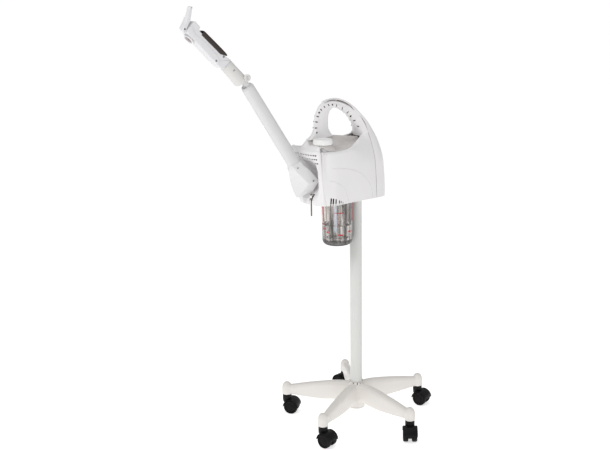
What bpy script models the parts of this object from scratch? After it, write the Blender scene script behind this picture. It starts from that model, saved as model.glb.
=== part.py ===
"""Facial steamer on a five-caster stand, built as separate sub-parts.

Units are metres, +Z is up. The front of the head faces -Y, and the head is
symmetric about the plane X = 0. Profile tables are in millimetres, measured
from the pole axis: f is forward (-Y), s is sideways (+X), z is up.
"""
import math

import bmesh
import bpy
from mathutils import Matrix, Vector

# ---------------------------------------------------------------- dimensions
MM = 0.001
POLE_X = -14.55
POLE_Y = 171.65
GAP = 0.3

# stand
LEG_ANGLES = [223.7, 295.7, 367.7, 439.7, 511.7]
LEG_REACH = 250.0
DOME_R = 18.0
DOME_TOP = 115.0
DOME_BOTTOM = 70.0
HUB_R = 33.0
HUB_BOTTOM = 46.0
HUB_TOP = 128.0
POLE_R = 20.8
POLE_WALL = 1.5
POLE_TOP = 845.0
WHEEL_R = 25.0
WHEEL_W = 19.0
WHEEL_INNER = 6.0
CASTER_TRAIL = 17.0
CASTER_SWIVELS = [40.0, 15.0, 322.0, 20.0, 190.0]

# head
CASE_BOTTOM = 802.0
WALL = 2.6
JAR_F = 78.0
JAR_R = 52.5
JAR_BOTTOM = 648.0
JAR_TOP = 868.0
CAP_F = 168.0
CAP_S = 47.0
CAP_R = 33.5
CAP_H = 20.0

# arm
ARM_PIVOT = (222.0, 905.0)
ARM_ANGLE = 57.0
ELBOW_SEAM = (488.0, 1269.0)
ELBOW_ANGLE = 47.0
ELBOW_LEN = 78.0


# ------------------------------------------------------------------- helpers
def clear_scene():
    for ob in list(bpy.data.objects):
        bpy.data.objects.remove(ob, do_unlink=True)


def material(name, color, rough, metal=0.0, glass=0.0):
    mat = bpy.data.materials.new(name)
    mat.use_nodes = True
    bsdf = mat.node_tree.nodes["Principled BSDF"]
    bsdf.inputs["Base Color"].default_value = (color[0], color[1], color[2], 1.0)
    bsdf.inputs["Roughness"].default_value = rough
    bsdf.inputs["Metallic"].default_value = metal
    if glass > 0.0:
        bsdf.inputs["Transmission Weight"].default_value = glass
        bsdf.inputs["IOR"].default_value = 1.47
    return mat


def at(f, s, z):
    return Vector((s * MM, -f * MM, z * MM))


def new_object(name, verts, faces, kind):
    mesh = bpy.data.meshes.new(name)
    bm = bmesh.new()
    handles = [bm.verts.new(v) for v in verts]
    for face in faces:
        bm.faces.new([handles[i] for i in face])
    bmesh.ops.recalc_face_normals(bm, faces=bm.faces)
    bmesh.ops.triangulate(bm, faces=[f for f in bm.faces if len(f.verts) > 4])
    bm.to_mesh(mesh)
    bm.free()
    ob = bpy.data.objects.new(name, mesh)
    bpy.context.scene.collection.objects.link(ob)
    color, rough, metal, glass = FINISH[kind]
    mesh.materials.append(material(name, color, rough, metal, glass))
    return ob


def loft(name, rings, kind, closed=False):
    """Skin closed polygons of equal length; end caps unless closed."""
    count = len(rings[0])
    verts = [p for ring in rings for p in ring]
    faces = []
    spans = len(rings) if closed else len(rings) - 1
    for i in range(spans):
        a = i * count
        b = ((i + 1) % len(rings)) * count
        for j in range(count):
            k = (j + 1) % count
            faces.append((a + j, a + k, b + k, b + j))
    if not closed:
        faces.append(tuple(range(count)))
        last = (len(rings) - 1) * count
        faces.append(tuple(last + j for j in range(count)))
    return new_object(name, verts, faces, kind)


def frame_for(axis):
    w = axis.normalized()
    u = w.orthogonal().normalized()
    return u, w.cross(u), w


def lathe(name, profile, centre, axis, kind, seg=32, u=None):
    """Revolve (radius, height) points in millimetres about an axis."""
    if u is None:
        u, v, w = frame_for(axis)
    else:
        w = axis.normalized()
        v = w.cross(u)
    verts = []
    rings = []
    for r, h in profile:
        if r < 1e-6:
            rings.append([len(verts)])
            verts.append(centre + w * h * MM)
            continue
        ring = []
        for i in range(seg):
            t = 2 * math.pi * i / seg
            ring.append(len(verts))
            verts.append(centre + (u * math.cos(t) + v * math.sin(t)) * r * MM + w * h * MM)
        rings.append(ring)
    is_open = len(rings[0]) == 1 and len(rings[-1]) == 1
    spans = len(rings) - 1 if is_open else len(rings)
    faces = []
    for i in range(spans):
        a = rings[i]
        b = rings[(i + 1) % len(rings)]
        for j in range(seg):
            k = (j + 1) % seg
            if len(a) == 1 and len(b) == 1:
                continue
            if len(a) == 1:
                faces.append((a[0], b[j], b[k]))
            elif len(b) == 1:
                faces.append((a[j], a[k], b[0]))
            else:
                faces.append((a[j], a[k], b[k], b[j]))
    return new_object(name, verts, faces, kind)


def curve_points(points, steps):
    """Catmull-Rom through points given as tuples of equal length."""
    out = []
    n = len(points)
    for i in range(n - 1):
        p0 = points[max(i - 1, 0)]
        p1 = points[i]
        p2 = points[i + 1]
        p3 = points[min(i + 2, n - 1)]
        for k in range(steps):
            t = k / steps
            out.append(tuple(
                0.5 * (2 * b + (c - a) * t + (2 * a - 5 * b + 4 * c - d) * t * t
                       + (3 * b - a - 3 * c + d) * t ** 3)
                for a, b, c, d in zip(p0, p1, p2, p3)))
    out.append(tuple(points[-1]))
    return out


def sweep(name, path, radius, kind, seg=12, bore=0.0):
    """Round rod or tube along a path of Vectors; sizes in millimetres."""
    tangents = []
    for i in range(len(path)):
        a = path[max(i - 1, 0)]
        b = path[min(i + 1, len(path) - 1)]
        tangents.append((b - a).normalized())
    u = tangents[0].orthogonal().normalized()
    outer = []
    inner = []
    for p, t in zip(path, tangents):
        u = (u - t * u.dot(t)).normalized()
        v = t.cross(u)
        ring = [u * math.cos(2 * math.pi * i / seg) + v * math.sin(2 * math.pi * i / seg)
                for i in range(seg)]
        outer.append([p + d * radius * MM for d in ring])
        inner.append([p + d * bore * MM for d in ring])
    if bore > 0.0:
        return loft(name, outer + inner[::-1], kind, closed=True)
    return loft(name, outer, kind)


def box(name, f0, f1, s0, s1, z0, z1, kind):
    ring0 = [at(f0, s0, z0), at(f1, s0, z0), at(f1, s1, z0), at(f0, s1, z0)]
    ring1 = [at(f0, s0, z1), at(f1, s0, z1), at(f1, s1, z1), at(f0, s1, z1)]
    return loft(name, [ring0, ring1], kind)


def combine(target, tools):
    """Apply Boolean steps given as (operation, object) and drop the tools."""
    for step, tool in tools:
        mod = target.modifiers.new(step, "BOOLEAN")
        mod.operation = step
        mod.solver = "EXACT"
        mod.object = tool
    bpy.context.view_layer.update()
    graph = bpy.context.evaluated_depsgraph_get()
    mesh = bpy.data.meshes.new_from_object(target.evaluated_get(graph))
    keep = target.data.materials[0]
    target.modifiers.clear()
    target.data = mesh
    mesh.materials.clear()
    mesh.materials.append(keep)
    for poly in mesh.polygons:
        poly.material_index = 0
    for _, tool in tools:
        bpy.data.objects.remove(tool, do_unlink=True)
    return target


def grid_shell(name, grid, thickness, kind):
    """Closed shell from a grid of (f, s, z) points, thickened inwards.

    The first and last rows are thickened across the head only, so that
    neighbouring shells meet edge to edge."""
    pts = [[at(*p) for p in row] for row in grid]
    rows = len(pts)
    cols = len(pts[0])
    inner = []
    for i in range(rows):
        line = []
        for j in range(cols):
            du = pts[min(i + 1, rows - 1)][j] - pts[max(i - 1, 0)][j]
            dv = pts[i][min(j + 1, cols - 1)] - pts[i][max(j - 1, 0)]
            normal = du.cross(dv)
            if i in (0, rows - 1):
                normal.y = 0.0
            line.append(pts[i][j] - normal.normalized() * thickness * MM)
        inner.append(line)
    rings = [pts[i] + inner[i][::-1] for i in range(rows)]
    return loft(name, rings, kind)


def smooth_grid(stations, across, along):
    """Interpolate a table of stations in both directions."""
    rows = [curve_points(st, along) for st in stations]
    cols = []
    for j in range(len(rows[0])):
        cols.append(curve_points([row[j] for row in rows], across))
    return [[cols[j][i] for j in range(len(cols))] for i in range(len(cols[0]))]


def mirror_s(grid):
    return [[(f, -s, z) for f, s, z in row] for row in grid][::-1]


def set_pivot(ob, point):
    ob.data.transform(Matrix.Translation(-point))
    ob.location = point


# color, roughness, metallic, transmission
FINISH = {
    "casing": ((0.78, 0.77, 0.77), 0.35, 0.0, 0.0),
    "arm": ((0.77, 0.77, 0.80), 0.35, 0.0, 0.0),
    "elbow": ((0.79, 0.79, 0.74), 0.35, 0.0, 0.0),
    "pole": ((0.74, 0.75, 0.72), 0.3, 0.1, 0.0),
    "base": ((0.84, 0.81, 0.77), 0.4, 0.0, 0.0),
    "black": ((0.012, 0.012, 0.013), 0.45, 0.0, 0.0),
    "smoke": ((0.01, 0.01, 0.012), 0.1, 0.0, 0.0),
    "steel": ((0.62, 0.62, 0.62), 0.25, 1.0, 0.0),
    "glass": ((0.97, 0.98, 0.98), 0.02, 0.0, 1.0),
    "clear": ((0.85, 0.88, 0.90), 0.25, 0.0, 0.5),
    "rubber": ((0.30, 0.30, 0.30), 0.7, 0.0, 0.0),
    "board": ((0.05, 0.22, 0.10), 0.5, 0.0, 0.0),
    "copper": ((0.45, 0.22, 0.12), 0.5, 0.3, 0.0),
}


# --------------------------------------------------------------------- stand
def leg_rings(angle):
    """Arched leg: tall rounded section, from inside the hub to the dome."""
    table = [(27, 14.5, 69, 131.5), (38, 15, 68, 133), (70, 15.5, 64, 133), (120, 15, 62, 127),
             (180, 14, 66, 117), (225, 13, 71, 108), (246, 12.5, 72.5, 104)]
    a = math.radians(angle)
    out = Vector((math.cos(a), math.sin(a), 0))
    side = Vector((-math.sin(a), math.cos(a), 0))
    rings = []
    for r, w, lo, hi in table:
        base = out * r * MM
        shape = [(-w * 0.86, lo), (w * 0.86, lo), (w, lo + 6), (w * 0.98, hi - 12),
                 (w * 0.80, hi - 4), (w * 0.42, hi - 0.6), (0, hi), (-w * 0.42, hi - 0.6),
                 (-w * 0.80, hi - 4), (-w * 0.98, hi - 12), (-w, lo + 6)]
        rings.append([base + side * s * MM + Vector((0, 0, z * MM)) for s, z in shape])
    return rings


def build_stand():
    up = Vector((0, 0, 1))
    hub = [(0, HUB_TOP), (27, HUB_TOP), (28.5, HUB_TOP - 2), (29, 118), (HUB_R, 112),
           (HUB_R, HUB_BOTTOM + 3), (HUB_R - 3, HUB_BOTTOM), (0, HUB_BOTTOM)]
    star = lathe("star_base", hub, Vector((0, 0, 0)), up, "base", 30)
    tools = []
    for i, angle in enumerate(LEG_ANGLES):
        tools.append(("UNION", loft("leg_tool_%d" % i, leg_rings(angle), "base")))
    for i, angle in enumerate(LEG_ANGLES):
        a = math.radians(angle)
        c = Vector((math.cos(a), math.sin(a), 0)) * LEG_REACH * MM
        dome = [(0, DOME_BOTTOM), (DOME_R - 1, DOME_BOTTOM), (DOME_R, DOME_BOTTOM + 1.5),
                (DOME_R, 88), (DOME_R * 0.93, 98), (DOME_R * 0.72, 107.5), (DOME_R * 0.40, 113.2),
                (0, DOME_TOP)]
        tools.append(("UNION", lathe("dome_tool_%d" % i, dome, c, up, "base", 18)))
    core = [(0, 40), (12, 40), (12, 60), (POLE_R + GAP, 60), (POLE_R + GAP, 140), (0, 140)]
    tools.append(("DIFFERENCE", lathe("core_tool", core, Vector((0, 0, 0)), up, "base", 32)))
    for i, angle in enumerate(LEG_ANGLES):
        a = math.radians(angle)
        c = Vector((math.cos(a), math.sin(a), 0)) * LEG_REACH * MM
        bore = [(0, 60), (5.8, 60), (5.8, 103), (0, 103)]
        tools.append(("DIFFERENCE", lathe("bore_tool_%d" % i, bore, c, up, "base", 10)))
    combine(star, tools)
    plug = [(0, 40), (30, 40), (30, 45.6), (11.6, 45.6), (11.6, 52), (0, 52)]
    lathe("hub_plug", plug, Vector((0, 0, 0)), up, "black", 20)
    pole = [(POLE_R, 60.3), (POLE_R, POLE_TOP), (POLE_R - POLE_WALL, POLE_TOP),
            (POLE_R - POLE_WALL, 60.3)]
    lathe("pole", pole, Vector((0, 0, 0)), up, "pole", 32)
    ring = [(POLE_R + 0.4, HUB_TOP + 0.4), (25.5, HUB_TOP + 0.4), (25.5, 134), (24.5, 136),
            (POLE_R + 0.4, 136)]
    lathe("pole_collar", ring, Vector((0, 0, 0)), up, "base", 32)


def caster_meshes():
    """Hood with stem, and a pair of wheels on one axle, at the origin."""
    centre = Vector((CASTER_TRAIL * MM, 0, WHEEL_R * MM))
    side = Vector((0, 1, 0))
    up = Vector((0, 0, 1))
    rings = []
    for y in (-24.5, -23.0, 23.0, 24.5):
        r1 = 28.2 if abs(y) < 24 else 27.2
        pts = []
        for i in range(10):
            t = math.radians(8 + 168 * i / 9)
            pts.append(centre + Vector((math.cos(t) * r1, y, math.sin(t) * r1)) * MM)
        for i in range(10):
            t = math.radians(8 + 168 * (9 - i) / 9)
            pts.append(centre + Vector((math.cos(t) * 25.8, y, math.sin(t) * 25.8)) * MM)
        rings.append(pts)
    hood = loft("caster_hood", rings, "black")
    web = []
    for y in (-4.8, 4.8):
        pts = []
        for i in range(12):
            t = 2 * math.pi * (i + 0.5) / 12
            r = 26.5 if math.sin(t) > 0.05 else 17.0
            pts.append(centre + Vector((math.cos(t) * r, y, math.sin(t) * r)) * MM)
        web.append(pts)
    web_ob = loft("web_tool", web, "black")
    stem = [(0, 30), (8, 30), (11, 50), (11, 62), (13, 64), (13, 69.5), (5.5, 69.5), (5.5, 100), (0, 100)]
    stem_ob = lathe("stem_tool", stem, Vector((0, 0, 0)), up, "black", 12)
    gap = [(0, -30), (25.6, -30), (25.6, -5.2), (0, -5.2)]
    gap_l = lathe("gap_tool_l", gap, centre, side, "black", 24)
    gap_r = lathe("gap_tool_r", [(r, -h) for r, h in gap], centre, side, "black", 24)
    hole = lathe("hole_tool", [(0, -10), (3.2, -10), (3.2, 10), (0, 10)], centre, side, "black", 10)
    combine(hood, [("UNION", web_ob), ("UNION", stem_ob), ("DIFFERENCE", gap_l),
                   ("DIFFERENCE", gap_r), ("DIFFERENCE", hole)])
    half = WHEEL_INNER + WHEEL_W - 1.5
    prof = [(0, -half), (22, -half), (WHEEL_R, -half + 4), (WHEEL_R, -9), (24, -WHEEL_INNER),
            (2.9, -WHEEL_INNER)]
    prof = prof + [(r, -h) for r, h in prof[::-1]]
    wheels = lathe("caster_wheels", prof, centre, side, "black", 24, u=Vector((0, 0, -1)))
    set_pivot(wheels, centre)
    return hood, wheels


def build_casters():
    hood, wheels = caster_meshes()
    centre = wheels.location.copy()
    for i, angle in enumerate(LEG_ANGLES):
        a = math.radians(angle)
        spot = Vector((math.cos(a), math.sin(a), 0)) * LEG_REACH * MM
        turn = Matrix.Rotation(math.radians(CASTER_SWIVELS[i]), 4, "Z")
        for source, local in ((hood, Vector((0, 0, 0))), (wheels, centre)):
            name = "%s_%d" % (source.name, i + 1)
            copy = bpy.data.objects.new(name, source.data.copy())
            copy.data.materials.clear()
            copy.data.materials.append(material(name, *FINISH["black"]))
            copy.data.transform(Matrix.Rotation(math.radians(CASTER_SWIVELS[i]), 4, "Z"))
            copy.location = spot + turn @ local
            bpy.context.scene.collection.objects.link(copy)
    bpy.data.objects.remove(hood, do_unlink=True)
    bpy.data.objects.remove(wheels, do_unlink=True)


# ---------------------------------------------------------------- head shells
SIDE_STATIONS = [
    [(172, 70, 802), (190, 77.5, 860), (196.6, 81.2, 920), (196, 82.5, 966), (195.5, 80.5, 976),
     (195, 75, 981)],
    [(160, 77, 802), (166, 82, 860), (171, 85, 920), (172, 86.5, 966), (172, 84.5, 975), (172, 78.5, 979)],
    [(143, 84, 802), (143, 87, 860), (143, 89, 920), (143, 89, 965), (143, 86, 974), (143, 79.5, 977)],
    [(115, 83, 802), (113, 86, 860), (110, 88, 920), (108, 88, 966), (108, 85, 975), (108, 77.5, 978)],
    [(84, 79, 802), (82, 82, 860), (78, 85, 920), (76, 84, 968), (75, 79.5, 980), (76, 71, 983)],
    [(50, 77.5, 802), (49, 80, 860), (48, 81.5, 925), (48, 76, 970), (49, 66, 986), (52, 57, 989)],
    [(25, 76.5, 802), (25, 78, 860), (24, 78, 925), (23, 68, 975), (24, 54, 996), (27, 45, 999)],
    [(-4, 75.5, 802), (-4, 75.5, 860), (-3, 72.5, 930), (-3, 58, 985), (-3, 41, 1004), (0, 28, 1008.5)],
    [(-17, 74.8, 802), (-17, 74, 860), (-15, 69.5, 932), (-12.5, 54.5, 988), (-12, 41, 1009),
     (-9.5, 31, 1017)],
    [(-30, 74, 802), (-29.5, 72, 860), (-27.5, 66.5, 935), (-23, 52, 990), (-20.3, 44.5, 1009),
     (-18.0, 38.6, 1025.5)],
]


def build_side_shells():
    grid = smooth_grid(SIDE_STATIONS, 2, 2)
    grid_shell("side_shell_far", mirror_s(grid), WALL, "casing")
    grid_shell("side_shell_near", grid, WALL, "casing")


def front_station(k, count):
    """Front wall section; k runs from the near ridge (+) to the far one."""
    t = math.pi / 2 * k / count
    c = math.cos(t)
    sn = math.sin(t)
    pocket = math.exp(-(82 * sn / 50.0) ** 6)
    top_f = 196.5 + 30 * c
    out = [(172.5 + 29.5 * c, 70 * sn, 802), (180 + 20 * c, 73.5 * sn, 822),
           (186.5 + 12 * c - 18 * pocket, 76.5 * sn, 843),
           (192.5 + 5 * c - 37 * pocket, 79 * sn, 868),
           (196.5 + 4 * c - 39 * pocket, 80.8 * sn, 905),
           (197 + 9 * c - 22 * pocket, 81.8 * sn, 930),
           (197 + 22 * c, 82.4 * sn, 956), (top_f - 0.5, 82.5 * sn, 972),
           (top_f - 1.0, 81 * sn, 980), (top_f - 8 * c, 76 * sn, 985)]
    inner = (197.2, 72 * sn, deck_height(195.4, 72 * sn, 983.5) + 0.5)
    mid_z = (out[-1][2] + inner[2]) / 2 + 1.0 + c
    out.append(((out[-1][0] + inner[0]) / 2, (out[-1][1] + inner[1]) / 2, mid_z))
    out.append(inner)
    return out


def build_front_body():
    grid = []
    for k in range(7, -8, -1):
        grid.append(curve_points(front_station(k, 7), 1))
    grid = [[(f + 1.2, s, z) for f, s, z in row] for row in grid]
    body = grid_shell("front_body", grid[::-1], WALL, "casing")
    tools = []
    notch = loft("notch_tool", [
        [at(182, 12, 795), at(182, 33, 795), at(182, 28, 837), at(182, 16, 837)],
        [at(215, 12, 795), at(215, 33, 795), at(215, 28, 837), at(215, 16, 837)]], "casing")
    tools.append(("DIFFERENCE", notch))
    combine(body, tools)


def deck_height(f, s, edge):
    """Deck falling from a central ridge to shallow dishes inside the rim."""
    w = min(abs(s) / 76.0, 1.0)
    dish = 984.0 + 0.05 * max(0.0, 60.0 - f)
    base = dish + (edge - dish) * w ** 3
    crest = min(1003.0 + (f - 5.0) * 0.15, 1016.6 - (f - 100.0) * 0.065)
    reach = (35.0 + 0.431 * (f - 91.0) - abs(s)) / 4.0
    base += 4.0 * min(1.0, max(0.0, (f - 60.0) / 30.0)) / (1.0 + math.exp(-reach))
    return base + (crest - base) * math.exp(-(abs(s) / 11.5) ** 2.6)


def build_top_deck():
    edge = [(-6, 19, 1009), (5, 26, 1006.5), (27.5, 41.5, 998), (52.5, 54.5, 988.5), (76, 68.5, 982.5),
            (108, 75, 977.5), (143, 77, 976.5), (172, 76, 978.5), (195.4, 71.5, 983.5)]
    rows = curve_points(edge, 2)
    half = [0.07, 0.15, 0.24, 0.34, 0.5, 0.7, 0.85, 1]
    spread = [-k for k in half[::-1]] + [0] + half
    grid = [[(f, w * k, deck_height(f, w * k, z)) for k in spread] for f, w, z in rows]
    deck = grid_shell("top_deck", grid, WALL, "casing")
    hole = [(0, 960), (27, 960), (27, 1005), (0, 1005)]
    tool = lathe("neck_tool", hole, at(CAP_F, CAP_S, 0), Vector((0, 0, 1)), "casing", 32)
    combine(deck, [("DIFFERENCE", tool)])


HANDLE_STATIONS = [
    # inner f, z, outer f, z, half width inner and outer
    (100, 1017.5, 192, 1012, 12, 11), (106, 1028, 178, 1022, 11, 10.5), (114, 1042, 169, 1038, 10, 10),
    (115, 1060, 165, 1059, 9.5, 9.8), (114, 1078, 161, 1082, 9.3, 9.6), (109, 1093, 151, 1105, 9.2, 9.6),
    (101, 1101, 136, 1120, 9.2, 9.4), (90, 1104, 107, 1128, 9.2, 9.6), (68, 1097, 70, 1122, 9.2, 10.6),
    (38, 1077, 34, 1104, 9.5, 14), (15, 1050, 2.8, 1070.6, 11, 22), (1, 1027, -12, 1044.5, 15, 30),
    (-6, 1012, -15, 1029, 21, 35)]


def build_handle():
    rings = []
    for fi, zi, fo, zo, wi, wo in curve_points(HANDLE_STATIONS, 2):
        df = fo - fi
        dz = zo - zi
        corner = 0.86 + 0.11 * min(1.0, max(0.0, (60.0 - fo) / 60.0))
        shape = [(0.0, 0.55), (0.06, 0.85), (0.2, 1.0), (0.75, 1.0), (0.95, 0.99), (1.0, corner)]
        near = [(fi + df * t, (wi + (wo - wi) * t) * w, zi + dz * t) for t, w in shape]
        far = [(f, -s, z) for f, s, z in near[::-1]]
        rings.append([at(*p) for p in near + far])
    loft("handle", rings, "casing")


REAR_STATIONS = [
    # seam f, s, z and crest f, z
    (-30.6, 74, 802, -92, 802), (-30.2, 72, 860, -91.5, 865), (-28.2, 66.5, 935, -87, 930),
    (-23.6, 52, 990, -73, 985), (-19, 40, 1024, -56, 1020), (-16, 32, 1046, -38, 1048),
    (-4.0, 25.5, 1066.5, -18, 1072), (14, 19, 1085, 8, 1099), (33, 15, 1107.5, 35, 1118),
    (69, 11.2, 1126, 63, 1130.5), (106, 10, 1131.3, 90, 1134.5), (134, 9.8, 1124, 128, 1128)]


def build_rear_cover():
    rings = []
    for sf, ss, sz, cf, cz in REAR_STATIONS:
        outer = []
        inner = []
        depth = math.hypot(cf - sf, cz - sz)
        thick = min(WALL, 0.55 * depth)
        k_s = (ss - min(WALL, 0.4 * ss)) / ss
        k_d = (depth - thick) / depth
        for i in range(13):
            t = math.pi * (i / 12 - 0.5)
            c = abs(math.cos(t)) ** 0.62
            sn = math.copysign(abs(math.sin(t)) ** 0.80, math.sin(t))
            outer.append(at(sf + (cf - sf) * c, ss * sn, sz + (cz - sz) * c))
            inner.append(at(sf + (cf - sf) * c * k_d, ss * sn * k_s, sz + (cz - sz) * c * k_d))
        rings.append(outer + inner[::-1])
    cover = loft("rear_cover", rings, "casing")
    tools = []
    for i, (s0, s1, z0, z1) in enumerate(REAR_CUTS):
        tools.append(("DIFFERENCE", box("cut_tool_%d" % i, -110, -70, s0, s1, z0, z1, "casing")))
    combine(cover, tools)


REAR_CUTS = [(-26, -2, 848, 876), (6, 18, 850, 874), (22, 34, 850, 874)]


def plan_outline(inset):
    """Casing plan near the bottom as (f, s) points, counter-clockwise."""
    half = [(st[0][0], st[0][1]) for st in SIDE_STATIONS[1:-1]]
    rear = [(-31, 74), (-55, 69), (-75, 59), (-87, 43), (-91, 22), (-92, 0)]
    front = [(202, 0), (200, 21), (195, 41), (186, 58), (175, 69)]
    half = front + half + rear
    loop = half + [(f, -s) for f, s in half[-2:0:-1]]
    out = []
    n = len(loop)
    for i in range(n):
        a = loop[i - 1]
        b = loop[(i + 1) % n]
        df = b[0] - a[0]
        ds = b[1] - a[1]
        size = math.hypot(df, ds)
        out.append((loop[i][0] + ds / size * -inset, loop[i][1] - df / size * -inset))
    return out


def build_bottom_plate():
    area = plan_outline(0)
    probe = plan_outline(6.5)
    if max(p[0] for p in probe) > max(p[0] for p in area):
        probe = plan_outline(-6.5)
    probe = [(min(f, 176), s) for f, s in probe]
    rings = [[at(f, s, z) for f, s in probe] for z in (806.0, 809.0)]
    plate = loft("bottom_plate", rings, "casing")
    up = Vector((0, 0, 1))
    jar = lathe("jar_tool", [(0, 780), (62, 780), (62, 820), (0, 820)], at(JAR_F, 0, 0), up, "casing", 40)
    post = [(0, 780), (21.4, 780), (21.4, 820), (0, 820)]
    pole = lathe("post_tool", post, at(0, 0, 0), up, "casing", 32)
    combine(plate, [("DIFFERENCE", jar), ("DIFFERENCE", pole)])


# ---------------------------------------------------------------- head inside
def build_boiler():
    up = Vector((0, 0, 1))
    axis = at(JAR_F, 0, 0)
    jar = [(0, JAR_BOTTOM), (38, JAR_BOTTOM), (44.5, JAR_BOTTOM + 1.8), (49, JAR_BOTTOM + 7),
           (50.5, JAR_BOTTOM + 15), (JAR_R, 800), (JAR_R, JAR_TOP - 12), (JAR_R + 2, JAR_TOP - 10),
           (JAR_R + 2, JAR_TOP), (JAR_R - 3.2, JAR_TOP), (JAR_R - 3.2, 800),
           (47.3, JAR_BOTTOM + 16), (46, JAR_BOTTOM + 9), (42, JAR_BOTTOM + 5), (36, JAR_BOTTOM + 3.6),
           (0, JAR_BOTTOM + 3.6)]
    ob = lathe("glass_jar", jar, axis, up, "glass", 32)
    set_pivot(ob, at(JAR_F, 0, JAR_BOTTOM))
    ring = [(JAR_R + 2.6, 812), (60.5, 812), (61.4, 813), (61.4, 880), (60, 881.5), (JAR_R + 2.6, 881.5)]
    holder = lathe("jar_holder", ring, axis, up, "casing", 32)
    relief = [(0, 800), (25.5, 800), (25.5, 853.5), (0, 853.5)]
    combine(holder, [("DIFFERENCE", lathe("relief_tool", relief, at(0, 0, 0), up, "casing", 24))])
    gasket = [(JAR_R - 4, JAR_TOP + 0.3), (JAR_R + 2, JAR_TOP + 0.3), (JAR_R + 2, JAR_TOP + 3.5),
              (JAR_R - 4, JAR_TOP + 3.5)]
    lathe("jar_gasket", gasket, axis, up, "rubber", 32)
    lid = [(0, JAR_TOP + 3.9), (JAR_R + 2, JAR_TOP + 3.9), (JAR_R + 2, 881.9), (61.4, 881.9), (61.4, 886),
           (40, 890), (36, 910), (20, 918), (0, 918)]
    lid_ob = lathe("chamber_lid", lid, axis, up, "casing", 28)
    cavity = [(0, JAR_TOP), (JAR_R - 8, JAR_TOP), (33, 888), (32, 907), (0, 913)]
    cav = lathe("cavity_tool", cavity, axis, up, "casing", 24)
    combine(lid_ob, [("DIFFERENCE", cav)])
    coil = []
    for i in range(25):
        t = math.radians(60 + 300 * i / 24)
        coil.append(at(JAR_F + 24 * math.cos(t), 24 * math.sin(t), 672))
    f0 = JAR_F + 12
    start = [at(f0, 20.78, 868.5), at(f0, 20.78, 760), at(f0, 20.78, 690), at(f0 + 0.3, 20.78, 678)]
    end = [at(JAR_F + 31, 2, 678), at(JAR_F + 33, 4, 700), at(JAR_F + 33, 4, 868.5)]
    sweep("heater_coil", start + coil[1:] + end, 3.6, "steel", 10)
    tube = [at(JAR_F, -6, 868), at(JAR_F, -6, 800), at(JAR_F, -6, 690)]
    sweep("steam_tube", tube, 6.5, "clear", 14, 4.6)
    probe = [at(JAR_F - 24, 10, 868), at(JAR_F - 24, 10, 712)]
    sweep("level_probe", probe, 3.0, "steel", 10)


def build_head_inside():
    up = Vector((0, 0, 1))
    socket = [(0, 852), (23.0, 852), (23.0, 809.6), (POLE_R + 0.5, 809.6), (POLE_R + 0.5, 847), (0, 847)]
    lathe("pole_socket", socket, at(0, 0, 0), up, "steel", 32)
    neck = [(22.5, 955), (26.4, 955), (26.4, 991.5), (22.5, 991.5)]
    lathe("filler_neck", neck, at(CAP_F, CAP_S, 0), up, "casing", 32)
    box("transformer", -62, -32, -30, 20, 895, 945, "copper")
    box("control_board", 22, 120, -66, -64, 895, 960, "board")
    lamp = [(0, 0), (6, 0), (6, 70), (0, 70)]
    lathe("uv_lamp", lamp, at(140, -52, 900), Vector((0, 1, 0)), "clear", 16)
    duct = [at(118, 0, 901), at(132, 0, 903), at(150, 0, 904.5)]
    sweep("steam_duct", duct, 7.5, "rubber", 14, 5.0)
    box("power_inlet", -95.5, -82, -25.5, -2.5, 848.5, 875.5, "black")
    ob = box("switch_power", -95.5, -84, 6.7, 17.3, 851.6, 872.4, "black")
    set_pivot(ob, at(-86, 12, 862))
    ob = box("switch_ozone", -95.5, -84, 22.7, 33.3, 851.6, 872.4, "black")
    set_pivot(ob, at(-86, 28, 862))


def build_cap():
    up = Vector((0, 0, 1))
    base = 994.5
    prof = [(0, base + CAP_H), (24, base + CAP_H), (30.5, base + CAP_H - 1.2),
            (CAP_R - 0.6, base + CAP_H - 4), (CAP_R, base + 4), (CAP_R - 0.8, base),
            (28.6, base), (28.6, base + 10), (0, base + 10)]
    ob = lathe("fill_cap", prof, at(CAP_F, CAP_S, 0), up, "casing", 28)
    set_pivot(ob, at(CAP_F, CAP_S, base))


def build_drip():
    up = Vector((0, 0, 1))
    tube = [at(198, 22, 838), at(198, 22, 765)]
    sweep("drip_tube", tube, 2.0, "steel", 12, 1.3)
    nut = [(2.3, 826), (4.8, 826), (5.4, 828), (5.4, 833), (4.8, 835), (2.3, 835)]
    lathe("drip_nut", nut, at(198, 22, 0), up, "steel", 16)


# ------------------------------------------------------------------------ arm
def arm_frame(angle):
    a = math.radians(angle)
    along = Vector((0, -math.cos(a), math.sin(a)))
    lift = Vector((0, math.sin(a), math.cos(a)))
    return along, lift


def half_pipe(name, start, along, lift, stations, side, wall, kind):
    """Half of a rounded tube; stations are (distance, lift radius, side radius)."""
    across = Vector((1, 0, 0)) * side
    rings = []
    for d, rl, rs in stations:
        c = start + along * d * MM
        outer = []
        inner = []
        for i in range(13):
            t = math.pi * (i / 12 - 0.5)
            cs = abs(math.cos(t)) ** 0.8
            sn = math.copysign(abs(math.sin(t)) ** 0.8, math.sin(t))
            outer.append(c + across * (GAP / 2 + rs * cs) * MM + lift * rl * sn * MM)
            inner.append(c + across * (GAP / 2 + (rs - wall) * cs) * MM + lift * (rl - wall) * sn * MM)
        rings.append(outer + inner[::-1])
    return loft(name, rings, kind)


BLOCK = [(197, 846), (183, 862), (177, 878), (182, 890), (193, 903), (216, 924), (232, 941),
         (263, 934), (275, 906), (271, 880), (265, 857), (256, 840), (246, 837), (220, 841)]


def shrink(points, amount):
    cf = sum(p[0] for p in points) / len(points)
    cz = sum(p[1] for p in points) / len(points)
    out = []
    for f, z in points:
        d = math.hypot(f - cf, z - cz)
        k = (d - amount) / d
        out.append((cf + (f - cf) * k, cz + (z - cz) * k))
    return out


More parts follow.
